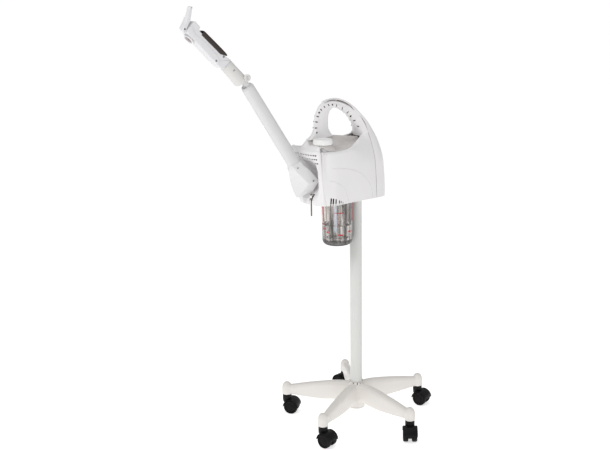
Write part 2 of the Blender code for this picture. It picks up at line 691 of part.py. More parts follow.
def build_arm():
    along, lift = arm_frame(ARM_ANGLE)
    start = at(250, 0, 944)
    for tag, side in (("near", 1), ("far", -1)):
        rings = []
        for pts, s in ((shrink(BLOCK, 5.5), 32), (shrink(BLOCK, 2.8), 26), (shrink(BLOCK, 2.8), GAP / 2),
                       (BLOCK, GAP / 2), (BLOCK, 27), (shrink(BLOCK, 1.0), 33), (shrink(BLOCK, 4.0), 36)):
            rings.append([at(f, s * side, z) for f, z in pts])
        block = loft("arm_base_" + tag, rings, "arm")
        bore = [(0, -60), (5.2, -60), (5.2, 60), (0, 60)]
        pin_hole = lathe("pin_tool", bore, at(ARM_PIVOT[0], 0, ARM_PIVOT[1]), Vector((1, 0, 0)), "arm", 20)
        port = box("port_tool", 155, 200, -12, 12, 893, 915, "arm")
        throat = [(0, -30), (15.5, -30), (15.5, 40), (0, 40)]
        throat_ob = lathe("throat_tool", throat, start, along, "arm", 24)
        combine(block, [("DIFFERENCE", pin_hole), ("DIFFERENCE", port), ("DIFFERENCE", throat_ob)])
        half_pipe("arm_shell_" + tag, start, along, lift,
                  [(2, 21.5, 21), (40, 21, 20.5), (250, 19.5, 19.5), (298, 19, 19), (305, 17, 18),
                   (309, 8, 15), (335, 6.5, 14)],
                  side, 2.4, "arm")
    pin = [(0, -35), (5, -35), (5, 35), (0, 35)]
    lathe("arm_pivot", pin, at(ARM_PIVOT[0], 0, ARM_PIVOT[1]), Vector((1, 0, 0)), "steel", 20)
    hose = [start + along * d * MM for d in (12, 100, 200, 285)]
    sweep("arm_hose", hose, 10, "rubber", 16, 7.5)


def build_elbow():
    along, lift = arm_frame(ELBOW_ANGLE)
    seam = at(ELBOW_SEAM[0], 0, ELBOW_SEAM[1])
    low = seam - along * ELBOW_LEN * MM
    for tag, side in (("near", 1), ("far", -1)):
        half_pipe("elbow_" + tag, low, along, lift,
                  [(2, 20, 22.6), (8, 20.5, 23), (40, 19.5, 21), (ELBOW_LEN - 3, 19, 19.5)],
                  side, 2.4, "elbow")
    pivot = low + along * 6 * MM + lift * 14 * MM
    knob = [(0, 23.6), (9.5, 23.6), (10.5, 25), (10.5, 29), (9, 30.5), (0, 30.5)]
    lathe("elbow_knob", knob, pivot, Vector((1, 0, 0)), "elbow", 24)


def build_nozzle():
    along, lift = arm_frame(ELBOW_ANGLE)
    seam = at(ELBOW_SEAM[0], 0, ELBOW_SEAM[1])
    side_profile = [(1, -19), (12, -25), (40, -27), (150, -30), (163, -29), (169, -22), (167, -8), (160, 4),
                    (150, 12), (134, 12), (133, 4), (114, 3), (112, 7), (40, 8), (20, 12), (1, 17)]

    def point(d, h, s):
        return seam + along * d * MM + lift * h * MM + Vector((s * MM, 0, 0))

    for tag, side in (("near", 1), ("far", -1)):
        rings = []
        layers = ((5.0, 15.5), (3.0, 13), (2.6, GAP / 2), (0, GAP / 2), (0, 14), (1.2, 18), (3.4, 19.5))
        for amount, s in layers:
            rings.append([point(d, h, s * side) for d, h in shrink(side_profile, amount)])
        shell = loft("nozzle_" + tag, rings, "arm")
        mouth = [(0, 10), (15.5, 10), (15.5, 40), (0, 40)]
        mouth_ob = lathe("mouth_tool", mouth, point(137, 0, 0), -lift, "arm", 28)
        throat = [(0, -4), (11, -4), (11, 12), (0, 12)]
        inlet = lathe("inlet_tool", throat, seam - lift * 2 * MM, along, "arm", 24)
        combine(shell, [("DIFFERENCE", mouth_ob), ("DIFFERENCE", inlet)])
    ring = [(12.2, 24), (15.2, 24), (15.2, 31.5), (17.2, 31.5), (17.2, 35), (16, 36), (12.2, 36)]
    lathe("outlet_ring", ring, point(137, 0, 0), -lift, "arm", 32)
    mesh_disc = [(0, 27), (11.9, 27), (11.9, 28.5), (0, 28.5)]
    lathe("outlet_mesh", mesh_disc, point(137, 0, 0), -lift, "copper", 24)

    lever_mid = [(170, -26), (174, -12), (178, 2), (185, 16), (192, 30)]
    rings = [[point(d + 0.3, h, 2.5), point(d + 4.8, h - 1.5, 2.5), point(d + 4.8, h - 1.5, 19.5),
              point(d + 0.3, h, 19.5)] for d, h in lever_mid]
    lever = loft("end_lever", rings, "arm")
    set_pivot(lever, point(172, -22, 0))
    plate = [[point(d + 0.6, h, -19.5), point(d + 3.6, h - 1, -19.5), point(d + 3.6, h - 1, 1.5),
              point(d + 0.6, h, 1.5)] for d, h in [(170, -26), (174, -12), (178, 2), (181, 8)]]
    loft("back_plate", plate, "arm")
    panel_side = [(19, 14.4), (24, 21), (110, 18.5), (117, 18.0), (112.5, 8.6), (40, 9.4), (24, 13.2)]
    rings = [[point(d, h, s) for d, h in panel_side] for s in (-15, 15)]
    panel = loft("smoked_panel", rings, "smoke")
    set_pivot(panel, point(18, 15, 0))


def main():
    clear_scene()
    build_stand()
    build_casters()
    build_side_shells()
    build_front_body()
    build_top_deck()
    build_handle()
    build_rear_cover()
    build_bottom_plate()
    build_boiler()
    build_head_inside()
    build_cap()
    build_drip()
    build_arm()
    build_elbow()
    build_nozzle()
    for ob in bpy.context.scene.collection.objects:
        ob.location.x += POLE_X * MM
        ob.location.y += POLE_Y * MM


main()
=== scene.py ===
from math import copysign, cos, dist, exp, hypot, pi, radians, sin, sqrt

import bmesh
import bpy
from mathutils import Matrix, Vector
from mathutils.bvhtree import BVHTree


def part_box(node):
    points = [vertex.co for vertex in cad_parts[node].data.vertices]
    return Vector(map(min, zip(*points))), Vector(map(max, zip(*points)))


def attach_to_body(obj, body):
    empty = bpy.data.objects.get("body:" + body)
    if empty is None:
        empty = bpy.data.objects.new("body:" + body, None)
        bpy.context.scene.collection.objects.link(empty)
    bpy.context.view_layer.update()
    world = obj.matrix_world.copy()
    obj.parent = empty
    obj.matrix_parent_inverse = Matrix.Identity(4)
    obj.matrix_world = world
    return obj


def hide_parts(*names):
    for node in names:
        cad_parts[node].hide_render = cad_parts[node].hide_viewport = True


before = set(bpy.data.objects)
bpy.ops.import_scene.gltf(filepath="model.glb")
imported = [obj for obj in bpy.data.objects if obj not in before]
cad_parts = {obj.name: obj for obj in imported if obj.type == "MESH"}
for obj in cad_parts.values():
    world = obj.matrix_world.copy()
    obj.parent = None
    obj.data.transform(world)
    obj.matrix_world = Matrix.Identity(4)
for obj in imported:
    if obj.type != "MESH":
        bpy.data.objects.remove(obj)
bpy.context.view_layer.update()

# Visual model of the facial steamer. Tables are in millimetres from the pole
# axis: f is forward (-Y), s is sideways (+X, the filler cap's side), z is up.
MM = 0.001
UP = Vector((0, 0, 1))
SIDE = Vector((1, 0, 0))
POLE_LOW, POLE_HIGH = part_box("pole")
AXIS = Vector(((POLE_LOW.x + POLE_HIGH.x) / 2, (POLE_LOW.y + POLE_HIGH.y) / 2, 0))
SCENE = bpy.context.scene
SIDES = (("near", 1), ("far", -1))


def clamp(x):
    return min(1, max(0, x))


def between(a, b, u):
    return tuple(p + (q - p) * u for p, q in zip(a, b))


def corners(x0, x1, y0, y1):
    return [(x0, y0), (x1, y0), (x1, y1), (x0, y1)]


def at(f, s, z):
    return AXIS + Vector((s, -f, z)) * MM


# --- materials
DUST_COLOR = (0.62, 0.59, 0.54, 1)


def fill(node, values):
    for key, value in values.items():
        node.inputs[key].default_value = value


def finish(name, color, rough=0.35, metal=0, grain=420, bump=0.04, vary=0.03,
           coat=0, dust=0, stretch=(1, 1, 1), shine=0.5):
    """Moulded or painted surface: fine grain, cloudy colour and roughness."""
    mat = bpy.data.materials.new(name)
    mat.use_nodes = True
    tree = mat.node_tree
    bsdf = tree.nodes["Principled BSDF"]

    def add(kind, values, **settings):
        node = tree.nodes.new("ShaderNode" + kind)
        for key, value in settings.items():
            setattr(node, key, value)
        fill(node, values)
        return node

    def wire(start, out, end, slot):
        tree.links.new(start.outputs[out], end.inputs[slot])

    coord = add("TexCoord", {})
    scale = add("Mapping", {"Scale": stretch})
    wire(coord, "Object", scale, "Vector")
    cloud = add("TexNoise", {"Scale": 14, "Detail": 4})
    fine = add("TexNoise", {"Scale": grain, "Detail": 2})
    wire(scale, "Vector", cloud, "Vector")
    wire(scale, "Vector", fine, "Vector")
    dark = tuple(c * (1 - vary) for c in color) + (1,)
    light = tuple(min(1, c * (1 + vary)) for c in color) + (1,)
    mix = add("Mix", {"A": dark, "B": light}, data_type="RGBA")
    wire(cloud, "Fac", mix, "Factor")
    tint = mix
    if dust > 0:
        geo = add("NewGeometry", {})
        up = add("SeparateXYZ", {})
        wire(geo, "Normal", up, "Vector")
        level = add("Math", {}, operation="MULTIPLY", use_clamp=True)
        wire(up, "Z", level, 0)
        wire(cloud, "Fac", level, 1)
        amount = add("Math", {1: dust}, operation="MULTIPLY")
        wire(level, 0, amount, 0)
        tint = add("Mix", {"B": DUST_COLOR}, data_type="RGBA")
        wire(amount, 0, tint, "Factor")
        wire(mix, "Result", tint, "A")
    wire(tint, "Result", bsdf, "Base Color")
    span = add("MapRange", {"To Min": max(0.02, rough - 0.06), "To Max": rough + 0.06})
    wire(cloud, "Fac", span, "Value")
    wire(span, "Result", bsdf, "Roughness")
    ridge = add("Bump", {"Strength": bump, "Distance": 0.001})
    wire(fine, "Fac", ridge, "Height")
    wire(ridge, "Normal", bsdf, "Normal")
    fill(bsdf, {"Metallic": metal, "Specular IOR Level": shine, "Coat Weight": coat,
                "Coat Roughness": 0.12})
    return mat


def glow(mat, color, strength):
    bsdf = mat.node_tree.nodes["Principled BSDF"]
    fill(bsdf, {"Emission Color": color, "Emission Strength": strength})


def clear(name, color, ior, streak=0, vary=0.02):
    """Clear material whose tint runs in upright streaks: painted reflections and shade of what lies
    behind it.
    """
    mat = finish(name, color, 0, grain=60, bump=streak, vary=vary, stretch=(4, 4, 0.25))
    tree = mat.node_tree
    bsdf = tree.nodes["Principled BSDF"]
    fill(bsdf, {"Transmission Weight": 1, "IOR": ior})
    fill(bsdf.inputs["Roughness"].links[0].from_node, {"To Min": 0, "To Max": 0.015})
    factor = bsdf.inputs["Base Color"].links[0].from_node.inputs["Factor"]
    cloud = factor.links[0].from_node
    fill(cloud, {"Scale": 24})
    # The streaks are sharpened into painted reflections.
    contrast = tree.nodes.new("ShaderNodeMapRange")
    fill(contrast, {"From Min": 0.4, "From Max": 0.6})
    tree.links.new(cloud.outputs["Fac"], contrast.inputs["Value"])
    tree.links.new(contrast.outputs["Result"], factor)
    return mat


CASING = finish("casing_plastic", (0.825, 0.812, 0.815), 0.34, dust=0.05)
# The deck is the casing's white made darker: painted shade in the dish; the parting strips use it too.
DECK_SHADE = finish("deck_plastic_painted_shade", (0.64, 0.612, 0.6), 0.3, dust=0.05)
PIPE = finish("arm_pipe_plastic", (0.69, 0.686, 0.69), 0.36, dust=0.04)
ARM = finish("arm_plastic", (0.74, 0.736, 0.752), 0.36, dust=0.04)
BLOCK_WHITE = finish("arm_block_plastic", (0.775, 0.77, 0.776), 0.36, dust=0.04)
ELBOW = finish("elbow_plastic", (0.68, 0.672, 0.656), 0.34, dust=0.04)
BASE = finish("base_plastic", (0.835, 0.805, 0.77), 0.38, grain=520, bump=0.05, dust=0.1)
POLE = finish("pole_enamel", (0.745, 0.75, 0.725), 0.27, grain=700, bump=0.03, stretch=(1, 1, 0.2))
CAP = finish("cap_plastic", (0.86, 0.86, 0.85), 0.32, bump=0.03)
BLACK = finish("caster_nylon", (0.006, 0.006, 0.006), 0.42, grain=900, bump=0.12, vary=0.3, shine=0.16)
TREAD = finish("caster_tread", (0.008, 0.007, 0.007), 0.62, grain=1200, bump=0.2, vary=0.3, shine=0.14)
SMOKE = finish("smoked_acrylic", (0.034, 0.024, 0.019), 0.26, bump=0.01, vary=0.2, coat=0.1, shine=0.3)
STEEL = finish("polished_steel", (0.62, 0.61, 0.59), 0.14, 1, grain=260, bump=0.03, stretch=(1, 1, 0.1))
TUBE = finish("weathered_steel", (0.2, 0.17, 0.14), 0.38, 0.9, grain=500, bump=0.08, vary=0.25)
CHROME = finish("nut_chrome", (0.74, 0.73, 0.72), 0.12, 1, bump=0.02)
SCREW = finish("black_screw", (0.008, 0.005, 0.005), 0.5, 0, bump=0.06, vary=0.3, shine=0.2)
# Near-black painted shade: the ring inside the pole collar and the plate behind the front notch; the
# cutters carry it too.
SHADE_DARK = finish("painted_shade_gap", (0.055, 0.045, 0.042), 0.75, bump=0.1, vary=0.2)
SEAM_SHADE = finish("seam_shadow", (0.24, 0.21, 0.2), 0.6, bump=0.06, vary=0.1)
# Near-black painted shadow for the sheets just inside the vents, louvres and handle slots.
SHADOW_SHEET = finish("deep_shadow", (0.012, 0.006, 0.005), 0.9, bump=0.1, vary=0.2, shine=0.1)
RUBBER = finish("grey_rubber", (0.28, 0.28, 0.28), 0.72, bump=0.15, vary=0.08)
BOARD = finish("circuit_board", (0.04, 0.2, 0.09), 0.5, grain=260, bump=0.3, vary=0.3)
COPPER = finish("outlet_copper", (0.3, 0.085, 0.05), 0.42, 0.5, grain=800, bump=0.3, vary=0.3)
RED = finish("red_ink", (0.62, 0.012, 0.03), 0.35, bump=0.02, vary=0.1)
# Grey, streaked jar glass: painted shade and painted reflections of the dark inside; the real jar is
# clear.
JAR_GLASS_SHADE = clear("jar_glass_painted_shade", (0.56, 0.535, 0.52), 1.47, 0.1, vary=0.62)
WATER = clear("jar_water", (0.93, 0.95, 0.96), 1.33)
FROST_GLOW = finish("steam_tube_painted_glow", (0.9, 0.95, 1), 0.3, bump=0.04)
# The steam tube glows though it is no lamp: painted light; the UV lamp gets the same material.
glow(FROST_GLOW, (0.75, 0.87, 1, 1), 0.45)


# --- mesh helpers
def new_object(name, data):
    ob = bpy.data.objects.new(name, data)
    SCENE.collection.objects.link(ob)
    return ob


def soften(ob, angle):
    ob.data.shade_smooth()
    ob.data.set_sharp_from_angle(angle=radians(angle))


def make(name, verts, faces, mat, angle=32):
    mesh = bpy.data.meshes.new(name)
    bm = bmesh.new()
    handles = [bm.verts.new(v) for v in verts]
    for face in faces:
        bm.faces.new([handles[i] for i in face])
    bmesh.ops.recalc_face_normals(bm, faces=bm.faces)
    bm.to_mesh(mesh)
    bm.free()
    ob = new_object(name, mesh)
    mesh.materials.append(mat)
    soften(ob, angle)
    return ob


def attach(ob, body):
    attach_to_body(ob, body)


def cover(ob, body, node):
    """The piece stands in for the named CAD node, which is hidden."""
    attach(ob, body)
    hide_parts(node)


def loft(name, rings, mat, closed=False, angle=32):
    """Skin closed polygons of equal length; end caps unless closed."""
    count = len(rings[0])
    verts = [p for ring in rings for p in ring]
    faces = []
    spans = len(rings) if closed else len(rings) - 1
    for i in range(spans):
        a = i * count
        b = ((i + 1) % len(rings)) * count
        for j in range(count):
            k = (j + 1) % count
            faces.append((a + j, a + k, b + k, b + j))
    if not closed:
        faces.append(tuple(range(count)))
        last = (len(rings) - 1) * count
        faces.append(tuple(last + j for j in range(count)))
    return make(name, verts, faces, mat, angle)


def half_round(count, flat, tall):
    """Cosines and sines of a half turn, squared off by the two powers."""
    turns = [pi * (i / (count - 1) - 0.5) for i in range(count)]
    return [(abs(cos(t)) ** flat, copysign(abs(sin(t)) ** tall, sin(t))) for t in turns]


def frame_for(axis):
    w = axis.normalized()
    u = w.orthogonal().normalized()
    return u, w.cross(u), w


def lathe(name, profile, centre, axis, mat, seg=64, wave=None, angle=32):
    """Revolve (radius, height) points; wave(angle, radius, height) adds radius."""
    u, v, w = frame_for(axis)
    verts = []
    rings = []
    for r, h in profile:
        if r < 1e-6:
            rings.append([len(verts)])
            verts.append(centre + w * h * MM)
            continue
        ring = []
        for i in range(seg):
            t = 2 * pi * i / seg
            grown = r + (wave(t, r, h) if wave else 0)
            ring.append(len(verts))
            verts.append(centre + (u * cos(t) + v * sin(t)) * grown * MM + w * h * MM)
        rings.append(ring)
    is_open = len(rings[0]) == 1 and len(rings[-1]) == 1
    spans = len(rings) - 1 if is_open else len(rings)
    faces = []
    for i in range(spans):
        a = rings[i]
        b = rings[(i + 1) % len(rings)]
        na = len(a)
        nb = len(b)
        for j in range(seg if na + nb > 2 else 0):
            k = (j + 1) % seg
            face = (a[j % na], a[k % na], b[k % nb], b[j % nb])
            faces.append(tuple(dict.fromkeys(face)))
    return make(name, verts, faces, mat, angle)


def curve_points(points, steps):
    """Catmull-Rom through points given as tuples of equal length."""
    out = []
    n = len(points)
    for i in range(n - 1):
        p0 = points[max(i - 1, 0)]
        p1 = points[i]
        p2 = points[i + 1]
        p3 = points[min(i + 2, n - 1)]
        for k in range(steps):
            t = k / steps
            out.append(tuple(
                0.5 * (2 * b + (c - a) * t + (2 * a - 5 * b + 4 * c - d) * t * t
                       + (3 * b - a - 3 * c + d) * t ** 3)
                for a, b, c, d in zip(p0, p1, p2, p3)))
    out.append(tuple(points[-1]))
    return out


def rounded(points, radius, steps=5):
    """Fillet the corners of a closed outline of 2-D points."""
    out = []
    n = len(points)
    for i in range(n):
        p = Vector(points[i])
        a = Vector(points[i - 1]) - p
        b = Vector(points[(i + 1) % n]) - p
        reach = min(radius, a.length * 0.45, b.length * 0.45)
        start = p + a.normalized() * reach
        end = p + b.normalized() * reach
        for k in range(steps + 1):
            t = k / steps
            q = start * (1 - t) ** 2 + p * 2 * t * (1 - t) + end * t ** 2
            out.append((q.x, q.y))
    return out


def inset(points, amount):
    """Move a closed outline of 2-D points inwards along its corner normals."""
    pts = [Vector(p) for p in points]
    area = sum(a.cross(b) for a, b in zip(pts, pts[1:] + pts[:1]))
    sign = 1 if area > 0 else -1
    out = []
    for before, p, after in zip(pts[-1:] + pts[:-1], pts, pts[1:] + pts[:1]):
        n1, n2 = (Vector((-d.y, d.x)).normalized() * sign for d in (p - before, after - p))
        both = n1 + n2
        both = both.normalized() if both.length > 1e-6 else n1
        q = p + both * (amount / max(0.5, both.dot(n1)))
        out.append((q.x, q.y))
    return out


def prism(name, outline, f0, f1, mat):
    """Outline of (s, z) points drawn out from f0 to f1."""
    return loft(name, [[at(f, s, z) for s, z in outline] for f in (f0, f1)], mat)


def pillow(name, outline, place, s0, s1, edge, mat, both=True, angle=30):
    """Plate of an outline between s0 and s1, its far edge rounded, or both."""
    sign = 1 if s1 > s0 else -1
    turn = [pi / 2 * k / 5 for k in range(6)]
    layers = [(0, s0)]
    if both:
        layers = [(edge * (1 - sin(t)), s0 + sign * edge * (1 - cos(t))) for t in turn]
    layers += [(edge * (1 - cos(t)), s1 - sign * edge * (1 - sin(t))) for t in turn]
    rings = [[place(a, b, s) for a, b in inset(outline, d)] for d, s in layers]
    return loft(name, rings, mat, angle=angle)


def sweep(name, path, radius, mat, seg=20, bore=0):
    """Round rod or tube along a path of Vectors."""
    tangents = [(b - a).normalized() for a, b in zip(path[:1] + path[:-1], path[1:] + path[-1:])]
    u = tangents[0].orthogonal().normalized()
    outer = []
    inner = []
    for p, t in zip(path, tangents):
        u = (u - t * u.dot(t)).normalized()
        v = t.cross(u)
        ring = [u * cos(2 * pi * k / seg) + v * sin(2 * pi * k / seg) for k in range(seg)]
        outer.append([p + d * radius * MM for d in ring])
        inner.append([p + d * bore * MM for d in ring])
    if bore > 0:
        return loft(name, outer + inner[::-1], mat, closed=True)
    return loft(name, outer, mat)


def repaint(mesh, mat):
    mesh.materials.clear()
    mesh.materials.append(mat)
    for poly in mesh.polygons:
        poly.material_index = 0


def cut(target, tools, angle=32):
    """Cut the tools out of the target and remove them."""
    for tool in tools:
        mod = target.modifiers.new("step", "BOOLEAN")
        mod.operation = "DIFFERENCE"
        mod.solver = "EXACT"
        mod.object = tool
    bpy.context.view_layer.update()
    graph = bpy.context.evaluated_depsgraph_get()
    mesh = bpy.data.meshes.new_from_object(target.evaluated_get(graph))
    keep = target.data.materials[0]
    target.modifiers.clear()
    target.data = mesh
    repaint(mesh, keep)
    for tool in tools:
        bpy.data.objects.remove(tool, do_unlink=True)
    soften(target, angle)


def joined(name, obs, mat, angle=32):
    """One object from several."""
    bm = bmesh.new()
    for ob in obs:
        bm.from_mesh(ob.data)
    mesh = bpy.data.meshes.new(name)
    bm.to_mesh(mesh)
    bm.free()
    for ob in obs:
        bpy.data.objects.remove(ob, do_unlink=True)
    out = new_object(name, mesh)
    repaint(mesh, mat)
    soften(out, angle)
    return out


def slot_tool(centre, out, along, length, width, depth):
    """Cutter with rounded ends, reaching depth to both sides of a surface."""
    w = out.normalized()
    u = (along - w * along.dot(w)).normalized()
    v = w.cross(u)
    half = max(0, (length - width) / 2)
    pts = []
    for end in (1, -1):
        for k in range(9):
            t = pi * (k / 8 - 0.5 * end)
            pts.append((half * end + cos(t) * width / 2, sin(t) * width / 2))
    rings = [[centre + (u * a + v * b + w * h) * MM for a, b in pts] for h in (-depth, depth)]
    return loft("cutter", rings, SHADE_DARK)


def grid_shell(name, grid, thickness, mat):
    """Closed shell from a grid of (f, s, z) points, thickened inwards."""
    pts = [[at(*p) for p in row] for row in grid]
    rows = len(pts)
    cols = len(pts[0])
    inner = []
    for i in range(rows):
        line = []
        for j in range(cols):
            du = pts[min(i + 1, rows - 1)][j] - pts[max(i - 1, 0)][j]
            dv = pts[i][min(j + 1, cols - 1)] - pts[i][max(j - 1, 0)]
            normal = du.cross(dv)
            if i in (0, rows - 1):
                normal.y = 0
            line.append(pts[i][j] - normal.normalized() * thickness * MM)
        inner.append(line)
    rings = [pts[i] + inner[i][::-1] for i in range(rows)]
    return loft(name, rings, mat)


def smooth_grid(stations, across, along):
    """Rows of points through the stations, smooth in both directions."""
    rows = [curve_points(station, along) for station in stations]
    cols = [curve_points(col, across) for col in zip(*rows)]
    return [list(row) for row in zip(*cols)]


def side_hit(tree, f, sign, z):
    """Where a line from that side, at f and z, meets the surface, or None."""
    return tree.ray_cast(at(f, sign * 150, z), SIDE * -sign)[0]


def mirror_s(grid):
    return [[(f, -s, z) for f, s, z in row] for row in grid][::-1]


def one_side(grid, sign):
    return grid if sign > 0 else mirror_s(grid)


def screw(name, place, out, radius, body):
    """Countersunk screw, its face just proud of the surface."""
    prof = [(0, -0.6), (radius * 0.3, -0.6), (radius * 0.38, 0.12), (radius * 0.8, 0.2),
            (radius, -0.1), (radius, -1.5), (0, -1.5)]
    head = lathe(name, prof, place, out, SCREW, 20)
    attach(head, body)


def surface_of(ob):
    bm = bmesh.new()
    bm.from_mesh(ob.data)
    tree = BVHTree.FromBMesh(bm)
    bm.free()
    return tree


# --- stand
LEG_ANGLES = [223.7, 295.7, 367.7, 439.7, 511.7]
CASTER_SWIVELS = [40, 15, 322, 20, 190]
LEG_REACH = 250
POLE_R = 20.8


def polar(angle, r, z):
    a = radians(angle)
    return AXIS + Vector((cos(a) * r, sin(a) * r, z)) * MM


def leg(angle):
    table = [(20, 14.5, 70, 131), (38, 15, 68, 132), (70, 15.5, 64, 131.5), (120, 15, 62, 125.5),
             (180, 14, 66, 116), (225, 13, 71, 107), (246, 12.5, 72.5, 103.5)]
    a = radians(angle)
    side = Vector((-sin(a), cos(a), 0))
    rings = []
    for r, w, lo, hi in curve_points(table, 6):
        base = polar(angle, r, 0)
        half = ((0.86, lo), (1, lo + 6), (0.98, hi - 12), (0.8, hi - 4), (0.42, hi - 0.6))
        left = [(-w * k, z) for k, z in half[::-1]]
        shape = left[-1:] + [(w * k, z) for k, z in half] + [(0, hi)] + left[:-1]
        rings.append([base + side * s * MM + UP * z * MM for s, z in shape])
    return loft("leg", rings, BASE)


def build_star():
    parts = []
    dome = [(0, 70), (17, 70), (18, 71.5), (18, 88), (16.9, 98), (13.4, 107), (8, 112.6), (0, 115)]
    for angle in LEG_ANGLES:
        parts.append(leg(angle))
        parts.append(lathe("dome", curve_points(dome, 3), polar(angle, LEG_REACH, 0), UP, BASE, 40))
    hub = [(0, 127.5), (27, 127.5), (29, 118), (33, 112), (33, 49), (30, 46), (0, 46)]
    parts.append(lathe("hub", hub, AXIS, UP, BASE, 48))
    star = joined("base_star", parts, BASE)
    remesh = star.modifiers.new("merge", "REMESH")
    remesh.mode = "VOXEL"
    remesh.voxel_size = 0.0016
    ease = star.modifiers.new("ease", "SMOOTH")
    ease.factor = 0.5
    ease.iterations = 5
    bore = lathe("bore", corners(0, 21.1, 100, 150), AXIS, UP, BASE, 64)
    hole = slot_tool(polar(151.7, 96, 120) + Vector((-0.00711, -0.0132, 0)), Vector((-0.474, -0.88, 0)),
                     UP, 7, 5, 6)
    cut(star, [bore, hole], angle=50)
    cover(star, "stand", "star_base")
    ring = [(21.2, 127), (26, 127), (26.4, 128), (26.4, 134.4), (25.6, 135.8), (24.4, 136.2),
            (21.4, 136.2)]
    collar = lathe("collar_ring", ring, AXIS, UP, BASE, 72)
    tools = [slot_tool(polar(a, 25, 132.5), polar(a, 1, 0) - AXIS, UP, 9, 3.4, 3.6)
             for a in (-5, 25, 68, 115, 155, 205, 250, 300, 330)]
    cut(collar, tools)
    cover(collar, "stand", "pole_collar")
    shade = lathe("collar_shadow", corners(21, 22.6, 128.3, 135), AXIS, UP, SHADE_DARK, 48)
    attach(shade, "stand")


def build_pole():
    prof = [(POLE_R, 60.5), (POLE_R, 844), (POLE_R - 0.6, 845), (POLE_R - 1.5, 845), (POLE_R - 1.5, 60.5)]
    tube = lathe("pole_tube", prof, AXIS, UP, POLE, 96)
    cover(tube, "stand", "pole")


def build_caster(i, angle, swivel):
    spot = polar(angle, LEG_REACH, 0)
    turn = Matrix.Rotation(radians(swivel), 4, "Z")
    ahead = turn @ Vector((1, 0, 0))
    side = turn @ Vector((0, 1, 0))
    hub = spot + ahead * 17 * MM + UP * 25 * MM

    def point(a, y, z):
        return hub + (ahead * a + side * y + UP * z) * MM

    rings = []
    for y, grow in ((-24.6, -1.4), (-24, -0.3), (-22.6, 0), (22.6, 0), (24, -0.3), (24.6, -1.4)):
        outer = []
        inner = []
        for k in range(33):
            t = radians(4 + 172 * k / 32)
            outer.append(point(cos(t) * (28.2 + grow), y, sin(t) * (28.2 + grow)))
            inner.append(point(cos(t) * 26, y, sin(t) * 26))
        rings.append(outer + inner[::-1])
    hood = loft("hood", rings, BLACK)
    web = [(cos(t) * r, sin(t) * r) for t, r in
           [(2 * pi * k / 40, 27 if sin(2 * pi * k / 40) > 0.05 else 16) for k in range(40)]]
    plate = loft("web", [[point(a, y, z) for a, z in web] for y in (-4.8, 4.8)], BLACK)
    stem = [(0, 38), (13.4, 38), (15.4, 44), (16, 52), (16, 66), (15.2, 69.4), (5.5, 69.4), (5.5, 100),
            (0, 100)]
    post = lathe("post", stem, spot, UP, BLACK, 32)
    cut(post, [lathe("wheel_room", corners(0, 27, -30, 30), hub, side, BLACK, 48)])
    body = joined(f"caster_body_{i}", [hood, plate, post], BLACK)
    cover(body, f"caster_{i}", f"caster_hood_{i}")
    wheels = []
    for sign in (1, -1):
        prof = [(0, 23), (5.5, 23.2), (6.5, 22.2), (7.5, 22), (17.5, 20.6), (18.5, 22.4), (21.5, 23.4),
                (23.4, 22.6), (24.6, 20.4), (25, 18), (25, 9.5), (24.2, 7), (22, 6.2), (0, 6.2)]
        wheels.append(lathe("wheel", prof, hub, side * sign, TREAD, 56))
    wheels.append(lathe("axle", corners(0, 2.9, -7, 7), hub, side, TREAD, 16))
    pair = joined(f"wheel_pair_{i}", wheels, TREAD)
    cover(pair, f"wheels_{i}", f"caster_wheels_{i}")


# --- head casing
SIDE_STATIONS = [
    [(172, 70, 802), (190, 77.5, 860), (196.6, 81.2, 920), (196, 82.5, 966), (195.5, 80.5, 976),
     (195, 75, 981)],
    [(160, 77, 802), (166, 82, 860), (171, 85, 920), (172, 86.5, 966), (172, 84.5, 975),
     (172, 78.5, 979)],
    [(143, 84, 802), (143, 87, 860), (143, 89, 920), (143, 89, 965), (143, 86, 974), (143, 79.5, 977)],
    [(115, 83, 802), (113, 86, 860), (110, 88, 920), (108, 88, 966), (108, 85, 975), (108, 77.5, 978)],
    [(84, 79, 802), (82, 82, 860), (78, 85, 920), (76, 84, 968), (75, 79.5, 980), (76, 71, 983)],
    [(50, 77.5, 802), (49, 80, 860), (48, 81.5, 925), (48, 76, 970), (49, 66, 986), (52, 57, 989)],
    [(25, 76.5, 802), (25, 78, 860), (24, 78, 925), (23, 68, 975), (24, 54, 996), (27, 45, 999)],
    [(-4, 75.5, 802), (-4, 75.5, 860), (-3, 72.5, 930), (-3, 58, 985), (-3, 41, 1004), (0, 28, 1008.5)],
    [(-17, 74.8, 802), (-17, 74, 860), (-15, 69.5, 932), (-12.5, 54.5, 988), (-12, 41, 1009),
     (-9.5, 31, 1017)],
    [(-30, 74, 802), (-29.5, 72, 860), (-27.5, 66.5, 935), (-23, 52, 990), (-20.3, 44.5, 1009),
     (-18, 38.6, 1025.5)],
]


WALL_STEPS = 12
WALL_LEVELS = 3 * WALL_STEPS
RIM_LEVELS = 2 * WALL_STEPS
FRONT_ROWS = 30
VENT_ROWS = (970, 957, 943.5)


def front_wall(t):
    """Outline of the front wall at angle t from the nose (0) to the side."""
    c = cos(t)
    sn = sin(t)
    pocket = exp(-(82 * sn / 50) ** 6)
    top_f = 196.5 + 30 * c
    return [(172.5 + 29.5 * c, 70 * sn, 802), (180 + 20 * c, 73.5 * sn, 822),
            (186.5 + 12 * c - 18 * pocket, 76.5 * sn, 843), (192.5 + 5 * c - 37 * pocket, 79 * sn, 868),
            (196.5 + 4 * c - 39 * pocket, 80.8 * sn, 905), (197 + 9 * c - 22 * pocket, 81.8 * sn, 930),
            (197 + 22 * c, 82.4 * sn, 956), (top_f - 0.5, 82.5 * sn, 970),
            (top_f - 1, 81 * sn, 980), (top_f - 8 * c, 76 * sn, 985)]


